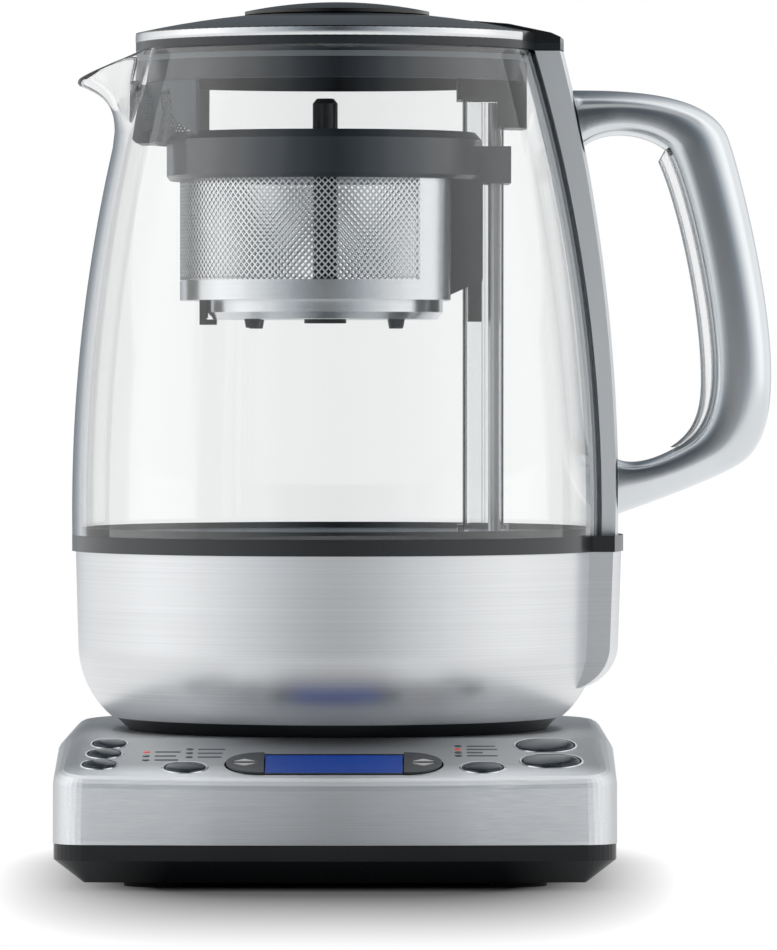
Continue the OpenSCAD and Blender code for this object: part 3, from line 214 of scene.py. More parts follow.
def metal(name, colour, roughness, stretch=(60, 60, 60), anisotropy=0.0, grain=0.06, front=None):
    """Metal with a grain: stretch says how fast it varies along X, Y and Z, per metre.

    front gives how much lighter a painted sheen makes the front face, midway and at both sides.
    """
    s = Shader(name)
    lines = s.noise(1, stretch, detail=4, rough=0.6)
    clouds = s.noise(9, detail=2)
    tone = s.tones(lines, shade(colour, 1 - grain), shade(colour, 1 + grain))
    # Painted sheen: the front face is lighter than the deck, and brightest towards both sides.
    if front:
        tone = painted_sheen_tone(s, tone, *front)
    s.set(Base_Color=tone, Metallic=1.0, Anisotropic=anisotropy, Anisotropic_Rotation=0.25)
    mixed = s.calc("MULTIPLY", lines, clouds)
    s.set(Roughness=s.between(mixed, roughness * 0.8, roughness * 1.5))
    return s.bump(lines, strength=0.06, depth=0.05).mat


def plastic(name, colour, roughness, grain_mm=0.35, gloss=0.0, bump=0.15, shine=0.5):
    """Moulded plastic or rubber with a fine grain and slightly uneven tone."""
    s = Shader(name)
    fine = s.noise(1000 / grain_mm, detail=2)
    clouds = s.noise(25, detail=3)
    s.set(Base_Color=s.tones(clouds, shade(colour, 0.9), shade(colour, 1.1)))
    s.set(Roughness=s.between(clouds, roughness * 0.85, roughness * 1.15))
    s.set(Coat_Weight=gloss, Coat_Roughness=0.08, Specular_IOR_Level=shine)
    return s.bump(fine, strength=bump, depth=0.03).mat


def clear(name, tint, roughness, ior):
    """Clear glass or plastic that lets plain light through to what stands inside it."""
    s = Shader(name)
    haze = s.noise(14, detail=2)
    s.set(Base_Color=s.tones(haze, shade(tint, 0.995), tint))
    s.set(Roughness=roughness, IOR=ior, Transmission_Weight=1.0)
    path = s.add("ShaderNodeLightPath").outputs
    soft = s.calc("MAXIMUM", path["Is Shadow Ray"], path["Is Diffuse Ray"])
    through = s.add("ShaderNodeBsdfTransparent", {"Color": (*shade(tint, 0.97), 1)})
    s.blend(soft, s.bsdf.outputs[0], through.outputs[0])
    return s.mat


def lit(name, colour, strength, body=0.25, gloss=1.0):
    """A lit part behind a glossy face; body is how much of its colour shows when it is off."""
    s = Shader(name)
    glow = s.noise(40, detail=1)
    s.set(Base_Color=s.tones(glow, shade(colour, body * 0.9), shade(colour, body * 1.1)))
    s.set(Emission_Color=s.tones(glow, shade(colour, 0.92), shade(colour, 1.06)))
    s.set(Emission_Strength=strength, Roughness=0.25, Specular_IOR_Level=0.2)
    s.set(Coat_Weight=gloss, Coat_Roughness=0.03)
    return s.mat


STEEL = srgb("#dbdddf")
ROUND_GRAIN = (7, 7, 2600)  # runs level round the jug
FLAT_GRAIN = (7, 2600, 2600)  # runs along X

MATERIALS = {
    "shell_steel": metal("shell_steel", STEEL, 0.44, ROUND_GRAIN, 0.5, 0.05),
    # front paints a sheen on the base's front face: 1.25 times lighter midway, 1.78 times at the
    # sides.
    "cover_steel": metal(
        "cover_steel", shade(STEEL, 0.76), 0.62, FLAT_GRAIN, 0.0, 0.05, front=(1.25, 1.78)
    ),
    "polished_steel": metal("polished_steel", srgb("#d0d2d4"), 0.14, (50, 50, 50), grain=0.02),
    "plate_steel": metal("plate_steel", srgb("#cfd2d4"), 0.25, (20, 20, 20)),
    "band_steel": metal("band_steel", srgb("#dddfe1"), 0.26, ROUND_GRAIN, 0.3, 0.03),
    "mesh_steel": metal("mesh_steel", srgb("#e8eaec"), 0.45, (300, 300, 300), grain=0.04),
    "satin_metal": metal("satin_metal", srgb("#d6dadd"), 0.27, (40, 40, 12), grain=0.03),
    "spine_metal": metal("spine_metal", srgb("#e6e9eb"), 0.5, (40, 40, 12), grain=0.03),
    "zinc_steel": metal("zinc_steel", srgb("#b4b7ba"), 0.35, (80, 80, 80)),
    "screw_steel": metal("screw_steel", srgb("#eceeef"), 0.6, (40, 40, 400), grain=0.02),
    "key_steel": metal("key_steel", srgb("#3c4147"), 0.16, (50, 50, 50), grain=0.03),
    "element": metal("element", srgb("#a5a7aa"), 0.5, (200, 200, 200)),
    "brass": metal("brass", srgb("#cda85f"), 0.3, (150, 150, 150)),
    "lid_metal": plastic("lid_metal", srgb("#14171a"), 0.26, gloss=0.5, bump=0.04),
    "knob_black": plastic("knob_black", srgb("#08090a"), 0.3, gloss=0.2, bump=0.03),
    "black": plastic("black", srgb("#0d0f11"), 0.38, gloss=0.1),
    "tray_black": plastic("tray_black", srgb("#14181c"), 0.3, shine=0.4),
    "band_black": plastic("band_black", srgb("#1b1f23"), 0.3, gloss=0.3),
    "dark_grey": plastic("dark_grey", srgb("#1d2226"), 0.4, bump=0.04),
    "skirt_grey": plastic("skirt_grey", srgb("#1c232a"), 0.34, gloss=0.2, bump=0.02),
    "key_grey": plastic("key_grey", srgb("#1f2428"), 0.3, gloss=0.4),
    "collar_grey": plastic("collar_grey", srgb("#27303a"), 0.38, gloss=0.5, bump=0.02),
    "filter_grey": plastic("filter_grey", srgb("#5d656b"), 0.4),
    "gasket": plastic("gasket", srgb("#868d93"), 0.5, bump=0.04),
    "rubber": plastic("rubber", srgb("#121314"), 0.7, grain_mm=0.6, bump=0.3),
    "silicone": plastic("silicone", srgb("#9ba3a8"), 0.45),
    "board": plastic("board", srgb("#1f5a3a"), 0.4, gloss=0.4),
    "dash": plastic("dash", srgb("#5c6165"), 0.5),
    "mark": plastic("mark", srgb("#e6e8e9"), 0.4),
    "light_off": plastic("light_off", srgb("#15181b"), 0.25, gloss=0.8),
    "light_on": lit("light_on", srgb("#c8372d"), 0.7, 0.6),
    "display": lit("display", srgb("#023c98"), 0.62, gloss=0.1),
    "glass": clear("glass", (0.945, 0.95, 0.95), 0.0, 1.47),
    "liner": clear("liner", (0.93, 0.94, 0.945), 0.2, 1.45),
    "column": clear("column", (0.96, 0.966, 0.97), 0.02, 1.49),
}

# Which material each CAD node wears where it stays in sight.
WEARS = {
    "shell_steel": ["jug_shell"],
    "cover_steel": ["base_cover"],
    "plate_steel": ["heater_plate", "temperature_sensor", "basket_lid"],
    "band_steel": ["basket_pan"],
    "spine_metal": ["handle_spine"],
    "zinc_steel": ["base_screws", "lift_motor", "handle_screws"],
    "screw_steel": ["drive_screw"],
    "element": ["heating_element"],
    "brass": ["connector_pins"],
    "lid_metal": ["lid_cap"],
    "knob_black": ["lid_knob", "basket_post"],
    "tray_black": ["base_tray", "jug_foot"],
    "band_black": ["jug_band"],
    "black": [
        "socket_ring", "power_connector", "panel_carrier", "key_switches", "buzzer",
        "jug_connector", "magnet_shuttle",
    ],
    "dark_grey": ["display_module", "basket_clips", "column_cap"],
    "skirt_grey": ["lid_skirt"],
    "key_grey": ["arrow_key_1", "arrow_key_2"],
    "collar_grey": ["basket_collar"],
    "filter_grey": ["filter_frame"],
    "gasket": ["spine_gasket"],
    "rubber": ["base_feet", "cord_inlet"],
    "silicone": ["lid_seal", "screw_seal"],
    "board": ["control_board", "power_board"],
    "mesh_steel": ["shuttle_magnets", "basket_magnets"],
    "display": ["display_window"],
    "column": ["lift_column"],
}


def dress_nodes():
    """Puts each CAD node's material on it."""
    for name, nodes in WEARS.items():
        for node in nodes:
            slots = NODES[node].data.materials
            slots.clear()
            slots.append(MATERIALS[name])


# ---------- Mesh helpers ----------


def piece(name, points, faces, material, body, stands_for=(), sharp=40):
    """A new mesh piece from points in metres in the CAD's frame, riding on a body.

    It stands for the CAD nodes named, and edges over sharp degrees stay crisp.
    """
    mesh = bpy.data.meshes.new(name)
    mesh.from_pydata([tuple(p) for p in points], [], faces)
    mesh.validate()
    bm = bmesh.new()
    bm.from_mesh(mesh)
    bmesh.ops.recalc_face_normals(bm, faces=bm.faces)
    bm.to_mesh(mesh)
    bm.free()
    mesh.shade_smooth()
    mesh.set_sharp_from_angle(angle=math.radians(sharp))
    mesh.materials.append(MATERIALS[material])
    obj = bpy.data.objects.new(name, mesh)
    bpy.context.scene.collection.objects.link(obj)
    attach(obj, body)
    if stands_for:
        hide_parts(*stands_for)
    return obj


def skin(rows, cols, closed_rows=False):
    """Quads over rows of cols points, stored row by row; each row is a closed ring."""
    faces = []
    for r in range(rows if closed_rows else rows - 1):
        for c in range(cols):
            below, beside = (r + 1) % rows, (c + 1) % cols
            faces.append(
                (r * cols + c, r * cols + beside, below * cols + beside, below * cols + c)
            )
    return faces


def caps(rows, cols):
    """The two end faces of a skin whose rows aren't joined round."""
    last = (rows - 1) * cols
    return [tuple(range(cols))[::-1], tuple(range(last, last + cols))]


def smoothstep(t):
    """0 up to 0, 1 from 1 on, with soft ends between."""
    t = max(0.0, min(1.0, t))
    return t * t * (3 - 2 * t)


def bezier(p, t):
    """The point at t, 0 to 1, on the curve of four points p."""
    u = 1 - t
    return tuple(
        u**3 * a + 3 * t * u * u * b + 3 * t * t * u * c + t**3 * d for a, b, c, d in zip(*p)
    )


# ---------- Jug glass ----------

GLASS_R = 77.9
GLASS_WIDEST_Z = 105
GLASS_CURVE_R = 480
GLASS_WALL = 2.6
GLASS_FOOT_Z = 98
RIM_Z = 239.5
SPOUT_START_Z = 216
SPOUT_HALF_ANGLE = 21
FINE_HALF_ANGLE = 24  # steps of a degree this far round the spout, and of three elsewhere
WALL_STEPS, SPOUT_STEPS, LIP_STEPS = 26, 22, 6
# The spout's middle line, from the glass wall up and out to its lip, in (reach, height).
SPOUT_LINE = [(65.4, 216), (65.2, 224), (68.5, 227), (75.4, 229.6)]


def glass_r(z):
    """The glass's outer radius at a height."""
    centre = GLASS_R - GLASS_CURVE_R
    return centre + math.sqrt(GLASS_CURVE_R**2 - (z - GLASS_WIDEST_Z) ** 2)


def glass_path(angle):
    """The glass's outer line at an angle from the spout, as (r, z) from foot to lip."""
    weight = smoothstep(1 - abs(angle) / SPOUT_HALF_ANGLE)
    line = []
    for i in range(WALL_STEPS):
        z = GLASS_FOOT_Z + (SPOUT_START_Z - GLASS_FOOT_Z) * i / WALL_STEPS
        line.append((glass_r(z), z))
    for i in range(SPOUT_STEPS + 1):
        t = i / SPOUT_STEPS
        z = SPOUT_START_Z + (RIM_Z - SPOUT_START_Z) * t
        out = bezier(SPOUT_LINE, t)
        wall = (glass_r(z), z)
        line.append(tuple(a + (b - a) * weight for a, b in zip(wall, out)))
    return line


def wall_section(line, wall):
    """A closed section: the outer line, a round lip, then the inner line back down."""
    inner = []
    for i, (r, z) in enumerate(line):
        r0, z0 = line[max(0, i - 1)]
        r1, z1 = line[min(len(line) - 1, i + 1)]
        length = math.hypot(r1 - r0, z1 - z0)
        inner.append((r - wall * (z1 - z0) / length, z + wall * (r1 - r0) / length))
    (ro, zo), (ri, zi) = line[-1], inner[-1]
    mid = ((ro + ri) / 2, (zo + zi) / 2)
    arm = ((ro - ri) / 2, (zo - zi) / 2)
    lip = []
    for k in range(1, LIP_STEPS):
        a = math.pi * k / LIP_STEPS
        c, s = math.cos(a), math.sin(a)
        lip.append((mid[0] + arm[0] * c - arm[1] * s, mid[1] + arm[1] * c + arm[0] * s))
    return line + lip + inner[::-1]


def make_glass():
    """The glass wall with its spout, as one closed skin."""
    angles = []
    angle = -180.0
    while angle < 180:
        angles.append(angle)
        angle += 1.0 if abs(angle) < FINE_HALF_ANGLE else 3.0
    sections = [wall_section(glass_path(a), GLASS_WALL) for a in angles]
    points = []
    for a, section in zip(angles, sections):
        turn = math.radians(180 + a)
        for r, z in section:
            points.append(AXIS + mm(r * math.cos(turn), r * math.sin(turn), z))
    faces = skin(len(angles), len(sections[0]), closed_rows=True)
    piece("jug_glass_body", points, faces, "glass", "jug", ["jug_glass"], sharp=60)


# ---------- Handle ----------

HANDLE_HALF = 12
LINER_HALF = 9.4
HANDLE_STEPS, HANDLE_SIDES = 24, 48
# How square the sections are, outside and inside: 2 is an ellipse.
GRIP_POWERS = (2.4, 5)
LINER_POWERS = (6, 6)
# Curves of four points each, in (reach from the jug's axis, height).
GRIP_OUTER = [
    [(67, 228.4), (88, 228.6), (111, 227.5), (115.3, 213.3)],
    [(115.3, 213.3), (118.5, 204), (127.6, 168), (127.6, 145)],
    [(127.6, 145), (127.6, 131), (124.5, 121.5), (116.8, 117.8)],
    [(116.8, 117.8), (110, 114), (97, 109), (81, 103.4)],
]
GRIP_INNER = [
    [(70, 209.5), (77, 218.5), (91, 215.5), (96.5, 211)],
    [(96.5, 211), (102, 202), (110.3, 166), (110.3, 146)],
    [(110.3, 146), (110.3, 134), (107, 127.5), (100.5, 124)],
    [(100.5, 124), (94, 120), (86, 117.4), (80.6, 121)],
]
LINER_INNER = [
    [(94.6, 207.5), (100, 196), (107.2, 165), (107.2, 143)],
    [(107.2, 143), (107.2, 133), (104.5, 127.5), (98.2, 123.6)],
]
SPINE_REACH = 82.7
SPINE_CURVE_R = 545
SPINE_WIDEST_Z = 108
SPINE_SUNK = 0.5  # how far the grip goes into the spine plate


def spine_x(z):
    """The reach of the spine plate's outer face at a height."""
    return SPINE_REACH - SPINE_CURVE_R + math.sqrt(SPINE_CURVE_R**2 - (z - SPINE_WIDEST_Z) ** 2)


def superellipse(angle, power_out, power_in):
    """A unit section point: u from 0, inner, to 1, outer, and v from -1 to 1."""
    c, s = math.cos(angle), math.sin(angle)
    power = power_out if c > 0 else power_in
    return (
        0.5 + 0.5 * math.copysign(abs(c) ** (2 / power), c),
        math.copysign(abs(s) ** (2 / power), s),
    )


def loft(inner, outer, half, powers):
    """Points and faces of a bar between inner and outer curves, half deep to each side."""
    points, rows = [], 0
    for k, (low, high) in enumerate(zip(inner, outer)):
        for i in range(0 if k == 0 else 1, HANDLE_STEPS + 1):
            (xl, zl), (xh, zh) = bezier(low, i / HANDLE_STEPS), bezier(high, i / HANDLE_STEPS)
            for j in range(HANDLE_SIDES):
                u, v = superellipse(2 * math.pi * j / HANDLE_SIDES, *powers)
                x, z = xl + u * (xh - xl), zl + u * (zh - zl)
                x = max(x, spine_x(z) - SPINE_SUNK)
                points.append(AXIS + mm(x, v * half, z))
            rows += 1
    return points, skin(rows, HANDLE_SIDES) + caps(rows, HANDLE_SIDES)


def make_handle():
    """The handle's grip and the clear inlay on its inner side."""
    points, faces = loft(GRIP_INNER, GRIP_OUTER, HANDLE_HALF, GRIP_POWERS)
    piece("handle_grip", points, faces, "satin_metal", "jug", ["handle_shell"])
    points, faces = loft(LINER_INNER, GRIP_INNER[1:3], LINER_HALF, LINER_POWERS)
    piece("handle_inlay", points, faces, "liner", "jug", ["handle_liner"])


# ---------- Perforated sheets ----------

BASKET_SHIFT = 3.5
BASKET_R = 42.7
BASKET_FLAT = 36.55  # from the basket's axis to its flat
BASKET_CORNER = 5
BASKET_LOW_Z = 166.6
BASKET_TOP_Z = 212
BASKET_WALL = 0.8
BAND_STEPS, STRIP_STEPS = 160, 60
HOLES_Z = (172.4, 201.9)
HOLES_FROM_ANGLE = 50
HOLES_PITCH, HOLES_ROW = 1.9, 1.03  # round the basket, and half the way from row to row
HOLE, FILTER_HOLE = 0.7, 0.62  # as a part of their cells
MESH_WALL, FILTER_WALL = 0.4, 0.35


def basket_outline():
    """The basket's plan: a function of the way along it, its length, and its arc's length and turn.

    The function gives x and y from the basket's axis, and the angle the wall faces. The way
    along it begins where the arc does, at the arc's turn from the flat's middle.
    """
    f, c = BASKET_FLAT, BASKET_CORNER
    cy = math.sqrt((BASKET_R - c) ** 2 - (f - c) ** 2)
    turn = math.atan2(cy, f - c)
    arc = 2 * (math.pi - turn) * BASKET_R
    bend = turn * c
    flat = 2 * cy

    def at(s):
        s = s % (arc + 2 * bend + flat)
        if s < arc:
            a = turn + s / BASKET_R
            return BASKET_R * math.cos(a), BASKET_R * math.sin(a), a
        s -= arc
        if s < bend:
            a = 2 * math.pi - turn + s / c
            return f - c + c * math.cos(a), -cy + c * math.sin(a), a
        s -= bend
        if s < flat:
            return f, s - cy, 0.0
        s -= flat
        a = s / c
        return f - c + c * math.cos(a), cy + c * math.sin(a), a

    return at, arc + 2 * bend + flat, arc, turn


def sheet_point(at, s, z, depth):
    """The place of a point at s along the basket's plan, depth inside its outer face."""
    x, y, a = at(s)
    return AXIS + mm(x - depth * math.cos(a) - BASKET_SHIFT, y - depth * math.sin(a), z)


def plain_sheet(name, at, s_range, z_range, material, steps, closed, stands_for=()):
    """A plain stretch of the basket's wall, along s and z."""
    s0, s1 = s_range
    low, high = z_range
    count = steps if closed else steps + 1
    points = []
    for i in range(count):
        s = s0 + (s1 - s0) * i / steps
        for z, depth in ((low, 0), (high, 0), (high, BASKET_WALL), (low, BASKET_WALL)):
            points.append(sheet_point(at, s, z, depth))
    faces = skin(count, 4, closed_rows=closed)
    if not closed:
        faces += caps(count, 4)
    piece(name, points, faces, material, "basket", stands_for)


def lattice(name, cols, rows, hole, wall, place, material, body):
    """A steel sheet with diamond holes in staggered rows; place(u, v, depth) puts it in space.

    A cell's corners lie on the grid of half pitches; its hole is the same diamond, drawn in.
    """
    points, index, faces = [], {}, []

    def corner(u, v, depth):
        key = (round(u * 1000), round(v * 1000), depth)
        if key not in index:
            index[key] = len(points)
            points.append(place(u, v, depth))
        return index[key]

    for r in range(rows):
        for c in range(cols):
            if (r + c) % 2:
                continue
            outer = [(c, r - 1), (c + 1, r), (c, r + 1), (c - 1, r)]
            outer = [(u, min(max(v, 0), rows - 1)) for u, v in outer]
            inner = [(c, r - hole), (c + hole, r), (c, r + hole), (c - hole, r)]
            if any(v < 0 or v > rows - 1 for _, v in inner):
                continue
            for k in range(4):
                n = (k + 1) % 4
                front = [corner(*outer[k], 0), corner(*outer[n], 0)]
                front += [corner(*inner[n], 0), corner(*inner[k], 0)]
                back = [corner(*outer[k], wall), corner(*outer[n], wall)]
                back += [corner(*inner[n], wall), corner(*inner[k], wall)]
                faces.append(tuple(front))
                faces.append(tuple(back[::-1]))
                faces.append((front[3], front[2], back[2], back[3]))
    return piece(name, points, faces, material, body, sharp=30)


def make_basket():
    """The basket's wall: plain bands above and below, a plain back, and a mesh round the rest."""
    at, length, arc, turn = basket_outline()
    margin = (math.radians(HOLES_FROM_ANGLE) - turn) * BASKET_R
    low, high = HOLES_Z
    plain_sheet(
        "basket_lower_band", at, (0, length), (BASKET_LOW_Z, low), "band_steel", BAND_STEPS, True,
        stands_for=["basket_wall"],
    )
    plain_sheet(
        "basket_upper_band", at, (0, length), (high, BASKET_TOP_Z), "mesh_steel", BAND_STEPS, True
    )
    plain_sheet(
        "basket_back_strip", at, (arc - margin, length + margin), (low, high), "band_steel",
        STRIP_STEPS, False,
    )
    span = arc - 2 * margin
    cols = 2 * round(span / HOLES_PITCH)
    rows = 2 * round((high - low) / (2 * HOLES_ROW)) + 1

    def place(u, v, depth):
        return sheet_point(at, margin + span * u / cols, low + (high - low) * v / (rows - 1), depth)

    lattice("basket_mesh", cols + 1, rows, HOLE, MESH_WALL, place, "mesh_steel", "basket")


# ---------- Lid ----------

RIM_R = 59.2
# The rim's section, in (way out from RIM_R, height).
RIM_SECTION = [
    (-0.6, 242.2), (-0.12, 242.2), (0, 242.5), (0, 244.2), (-0.12, 244.6), (-0.6, 244.6),
]
RIM_OPEN_ANGLE = 24  # where the lid's tail takes over, each side of the handle
RIM_STEPS = 180

# The filter's plan, from one end to the other, in (x, y) from the jug's axis.
FILTER_PLAN = [
    (-45.9, -30.2), (-47.8, -27.2), (-49.6, -23.9), (-57.7, -7.6), (-57.7, 7.6), (-49.6, 23.9),
    (-47.8, 27.2), (-45.9, 30.2),
]
FILTER_Z = (215.6, 226.4)
FILTER_PITCH = 1.9


def make_lid_rim():
    """A bright band round the lid's edge."""
    points = []
    for i in range(RIM_STEPS + 1):
        a = math.radians(RIM_OPEN_ANGLE + (360 - 2 * RIM_OPEN_ANGLE) * i / RIM_STEPS)
        for dr, z in RIM_SECTION:
            r = RIM_R + dr
            points.append(AXIS + mm(r * math.cos(a), r * math.sin(a), z))
    sides = len(RIM_SECTION)
    faces = skin(RIM_STEPS + 1, sides) + caps(RIM_STEPS + 1, sides)
    piece("lid_rim", points, faces, "band_steel", "lid")


def make_filter():
    """A perforated strip along the filter's plan."""
    lengths = [0.0]
    for (x0, y0), (x1, y1) in zip(FILTER_PLAN, FILTER_PLAN[1:]):
        lengths.append(lengths[-1] + math.hypot(x1 - x0, y1 - y0))
    cols = 2 * round(lengths[-1] / FILTER_PITCH)
    low, high = FILTER_Z
    rows = 2 * round((high - low) / FILTER_PITCH) + 1

    def place(u, v, depth):
        s = lengths[-1] * u / cols
        k = max(i for i in range(len(lengths) - 1) if lengths[i] <= s or i == 0)
        t = (s - lengths[k]) / (lengths[k + 1] - lengths[k])
        (x0, y0), (x1, y1) = FILTER_PLAN[k], FILTER_PLAN[k + 1]
        x, y = x0 + t * (x1 - x0) + depth, y0 + t * (y1 - y0)
        return AXIS + mm(x, y, low + (high - low) * v / (rows - 1))

    mesh = lattice(
        "filter_holes", cols + 1, rows, FILTER_HOLE, FILTER_WALL, place, "filter_grey", "lid"
    )
    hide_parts("filter_mesh")


# ---------- Control panel ----------

PANEL_SLOPE = 13.4
PANEL_START = 62
DECK_Z = 41


def panel_matrix(x, d):
    """The place on the sloping panel, x to the right and d in front of the jug's axis."""
    z = DECK_Z - (d - PANEL_START) * math.tan(math.radians(PANEL_SLOPE))
    lean = Matrix.Rotation(math.radians(PANEL_SLOPE), 4, "X")
    return Matrix.Translation(AXIS + mm(x, -d, z)) @ lean


def oval_point(size, angle, grow):
    """A point on a bar with round ends, at an angle from its middle."""
    r = size[1] / 2 + grow
    reach = (size[0] - size[1]) / 2
    c, s = math.cos(angle), math.sin(angle)
    return math.copysign(reach, c) + r * c, r * s


def rings(place, size, levels, sides):
    """Points of stacked ovals, each level given as (grow, scale, height)."""
    points = []
    for grow, scale, height in levels:
        for j in range(sides):
            a = 2 * math.pi * (j + 0.5) / sides
            x, y = oval_point(size, a, grow)
            points.append(place @ mm(x * scale, y * scale, height))
    return points


SMALL_KEY, MID_KEY, LARGE_KEY = (9.2, 8.2), (11.3, 9.6), (16.4, 12.2)
# Each key's place on the panel, x and d, and its size.
KEYS = {
    "small_button_1": (-64.5, 67.8, SMALL_KEY),
    "small_button_2": (-65.6, 77.6, SMALL_KEY),
    "small_button_3": (-66.6, 88.2, SMALL_KEY),
    "mid_button_1": (-42.325, 91, MID_KEY),
    "mid_button_2": (41.725, 91, MID_KEY),
    "large_button_1": (59.8, 69.4, LARGE_KEY),
    "large_button_2": (61.2, 84.7, LARGE_KEY),
}
KEY_SIDES = 56
KEY_LOW_Z = -2
DOME_FOOT_Z, DOME_TOP_Z = -0.1, 1.0
DOME_STEPS = 7
DOME_TIP = 0.06  # the smallest ring, as a part of the key's size
BEZEL = [(0.35, 1, -0.3), (0.45, 1, 0.18), (0.75, 1, 0.25), (1.05, 1, 0.02), (0.9, 1, -0.3)]


def make_keys():
    """A domed cap for each push key, and the bright ring round it in the cover."""
    levels = [(0, 1, KEY_LOW_Z), (0, 1, DOME_FOOT_Z)]
    for i in range(DOME_STEPS):
        t = (i + 1) / DOME_STEPS * math.pi / 2
        height = DOME_FOOT_Z + (DOME_TOP_Z - DOME_FOOT_Z) * math.sin(t)
        levels.append((0, max(DOME_TIP, math.cos(t)), height))
    cap_faces = skin(len(levels), KEY_SIDES) + caps(len(levels), KEY_SIDES)
    bezel_faces = skin(len(BEZEL), KEY_SIDES, closed_rows=True)
    for node, (x, d, size) in KEYS.items():
        place = panel_matrix(x, d)
        points = rings(place, size, levels, KEY_SIDES)
        piece(f"{node}_cap", points, cap_faces, "key_steel", f"{node}_body",
              [node])
        points = rings(place, size, BEZEL, KEY_SIDES)
        piece(f"{node}_bezel", points, bezel_faces, "polished_steel", "power_base")


DISPLAY_AT = (-0.3, 88)
DISPLAY_FIELD_D = 20.4
WINDOW_W = 38.8
# Section of the dark lines at the display's edges, in (way in from the field's edge, height).
LINE_SECTION = [(0.25, -0.5), (1.2, -0.5), (1.2, 0.2), (0.25, 0.2)]
ARROW_X = 25.3
ARROW_OUTLINE = [(-3.0, 0.95), (3.0, 0.95), (0.25, 3.1), (-0.25, 3.1)]
ARROW_Z = (0.55, 0.78)
# Places of the indicator lights, x and d.
LIGHTS = (
    [(-53.6, 76 + 3.9 * i) for i in range(3)]
    + [(-41.425, 73.4 + 3.8 * i) for i in range(3)]
    + [(34.925, 70.4 + 3.1 * i) for i in range(4)]
)
LIGHTS_ON = [LIGHTS[0], LIGHTS[7]]
LIGHT_SIZE = (2.2, 1.7)
LIGHT_LOW_Z, LIGHT_TOP_Z = -1.5, 0.2
# The plain dashes that stand beside the lights.
DASH_START = 2.3
DASH_LENGTHS = [7.5, 6.3, 7, 8, 7.2, 7, 8.4, 8.9, 4.8, 8.9]
DASH_WIDTH = 1.1
DASH_LOW_Z, DASH_TOP_Z = -0.4, 0.16
BAR_SIDES = 20
BAR_EDGE, BAR_EDGE_H = 0.1, 0.08  # its bevel, in and down


def bar(name, x, d, size, z_range, material):
    """A small flat oval bar on the panel."""
    low, top = z_range
    levels = [(0, 1, low), (0, 1, top - BAR_EDGE_H), (-BAR_EDGE, 1, top)]
    points = rings(panel_matrix(x, d), size, levels, BAR_SIDES)
    faces = skin(len(levels), BAR_SIDES) + caps(len(levels), BAR_SIDES)
    return piece(name, points, faces, material, "power_base")


def make_panel_marks():
    """The indicator lights, two of them lit, and a dash beside each."""
    heights = (LIGHT_LOW_Z, LIGHT_TOP_Z)
    off = [place for place in LIGHTS if place not in LIGHTS_ON]
    for i, (x, d) in enumerate(off):
        lamp = bar(f"light_off_{i + 1}", x, d, LIGHT_SIZE, heights, "light_off")
        if i == 0:
            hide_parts("indicator_lights")
    for i, (x, d) in enumerate(LIGHTS_ON):
        bar(f"light_on_{i + 1}", x, d, LIGHT_SIZE, heights, "light_on")
    for i, ((x, d), length) in enumerate(zip(LIGHTS, DASH_LENGTHS)):
        middle = x + DASH_START + length / 2
        size = (length, DASH_WIDTH)
        bar(f"panel_dash_{i + 1}", middle, d, size, (DASH_LOW_Z, DASH_TOP_Z), "dash")


def make_arrows():
    """An up and a down mark on each arrow key."""
    base = panel_matrix(*DISPLAY_AT)
    for k, side in enumerate((-1, 1)):
        for end, word in ((1, "up"), (-1, "down")):
            points = [
                base @ mm(side * ARROW_X + x, end * y, z) for z in ARROW_Z for x, y in ARROW_OUTLINE
            ]
            piece(f"arrow_{word}_{k + 1}", points, skin(2, 4) + caps(2, 4), "mark",
                  f"arrow_key_{k + 1}_body")


def make_display_lines():
    """A thin dark line along the display's far and near edges."""
    base = panel_matrix(*DISPLAY_AT)
    for word, sign in (("top", 1), ("low", -1)):
        points = [
            base @ mm(x, sign * (DISPLAY_FIELD_D / 2 - inset), z)
            for x in (-WINDOW_W / 2, WINDOW_W / 2) for inset, z in LINE_SECTION
        ]
        piece(f"display_line_{word}", points, skin(2, 4) + caps(2, 4), "black", "power_base")


# ---------- Stage ----------

# Lengths of the stage are in metres.
WHITE = (1, 1, 1, 1)
LIGHT_LEVEL = 0.4
# A painted shade: the floor near the object is this dark grey, which deepens its shadow.
FLOOR_SHADE_TONE = 0.29
FLOOR_REACH = 6.0
FLOOR_FADE = (0.12, 0.305)  # from the floor's painted grey shade to plain white
FLOOR_NARROW = 0.0316  # what the square of X is divided by
FLOOR_BEHIND = 2.1  # how many times more the way behind the object counts
# Name, azimuth, elevation, distance, width, height, level, and whether metal mirrors it.
CARDS = [
    ("left_flag", -128, 5, 1.3, 0.55, 1.8, 0.05, False),
    ("right_flag", 128, 5, 1.3, 0.55, 1.8, 0.05, False),
    ("top_card", 25, 52, 1.8, 1.6, 0.7, 0.6, True),
]
CARD_AIM = (0, 0, 0.13)
# Name, place, size and power.
LAMPS = [
    ("back_lamp", (0, 1.3, 1.25), (1.8, 1.0), 26),
    ("left_lamp", (-1.4, -0.05, 0.6), (0.45, 1.4), 3.5),
    ("right_lamp", (1.4, -0.2, 0.6), (0.35, 1.4), 2.5),
]
LAMP_AIM = (0, 0, 0.12)
# How bright the studio looks in reflections: azimuth from the camera, level at the left and right.
STUDIO = [
    (0, 0.04, 0.04), (8, 0.12, 0.12), (20, 0.27, 0.27), (34, 0.6, 0.6), (56, 1.05, 1.02),
    (72, 1.4, 1.3), (90, 1.55, 1.4), (110, 1.2, 1.1), (127, 1.05, 1.1), (142, 0.85, 1.1),
    (160, 0.35, 0.7), (180, 0.15, 0.15),
]
STUDIO_TINT = (-0.15, 0.0, 0.15)  # how far the colour leans where the studio is dark
STUDIO_R, STUDIO_HOLE_R = 2.6, 0.05
STUDIO_LOW, STUDIO_HIGH = -0.6, 2.8
STUDIO_SIDES = 96


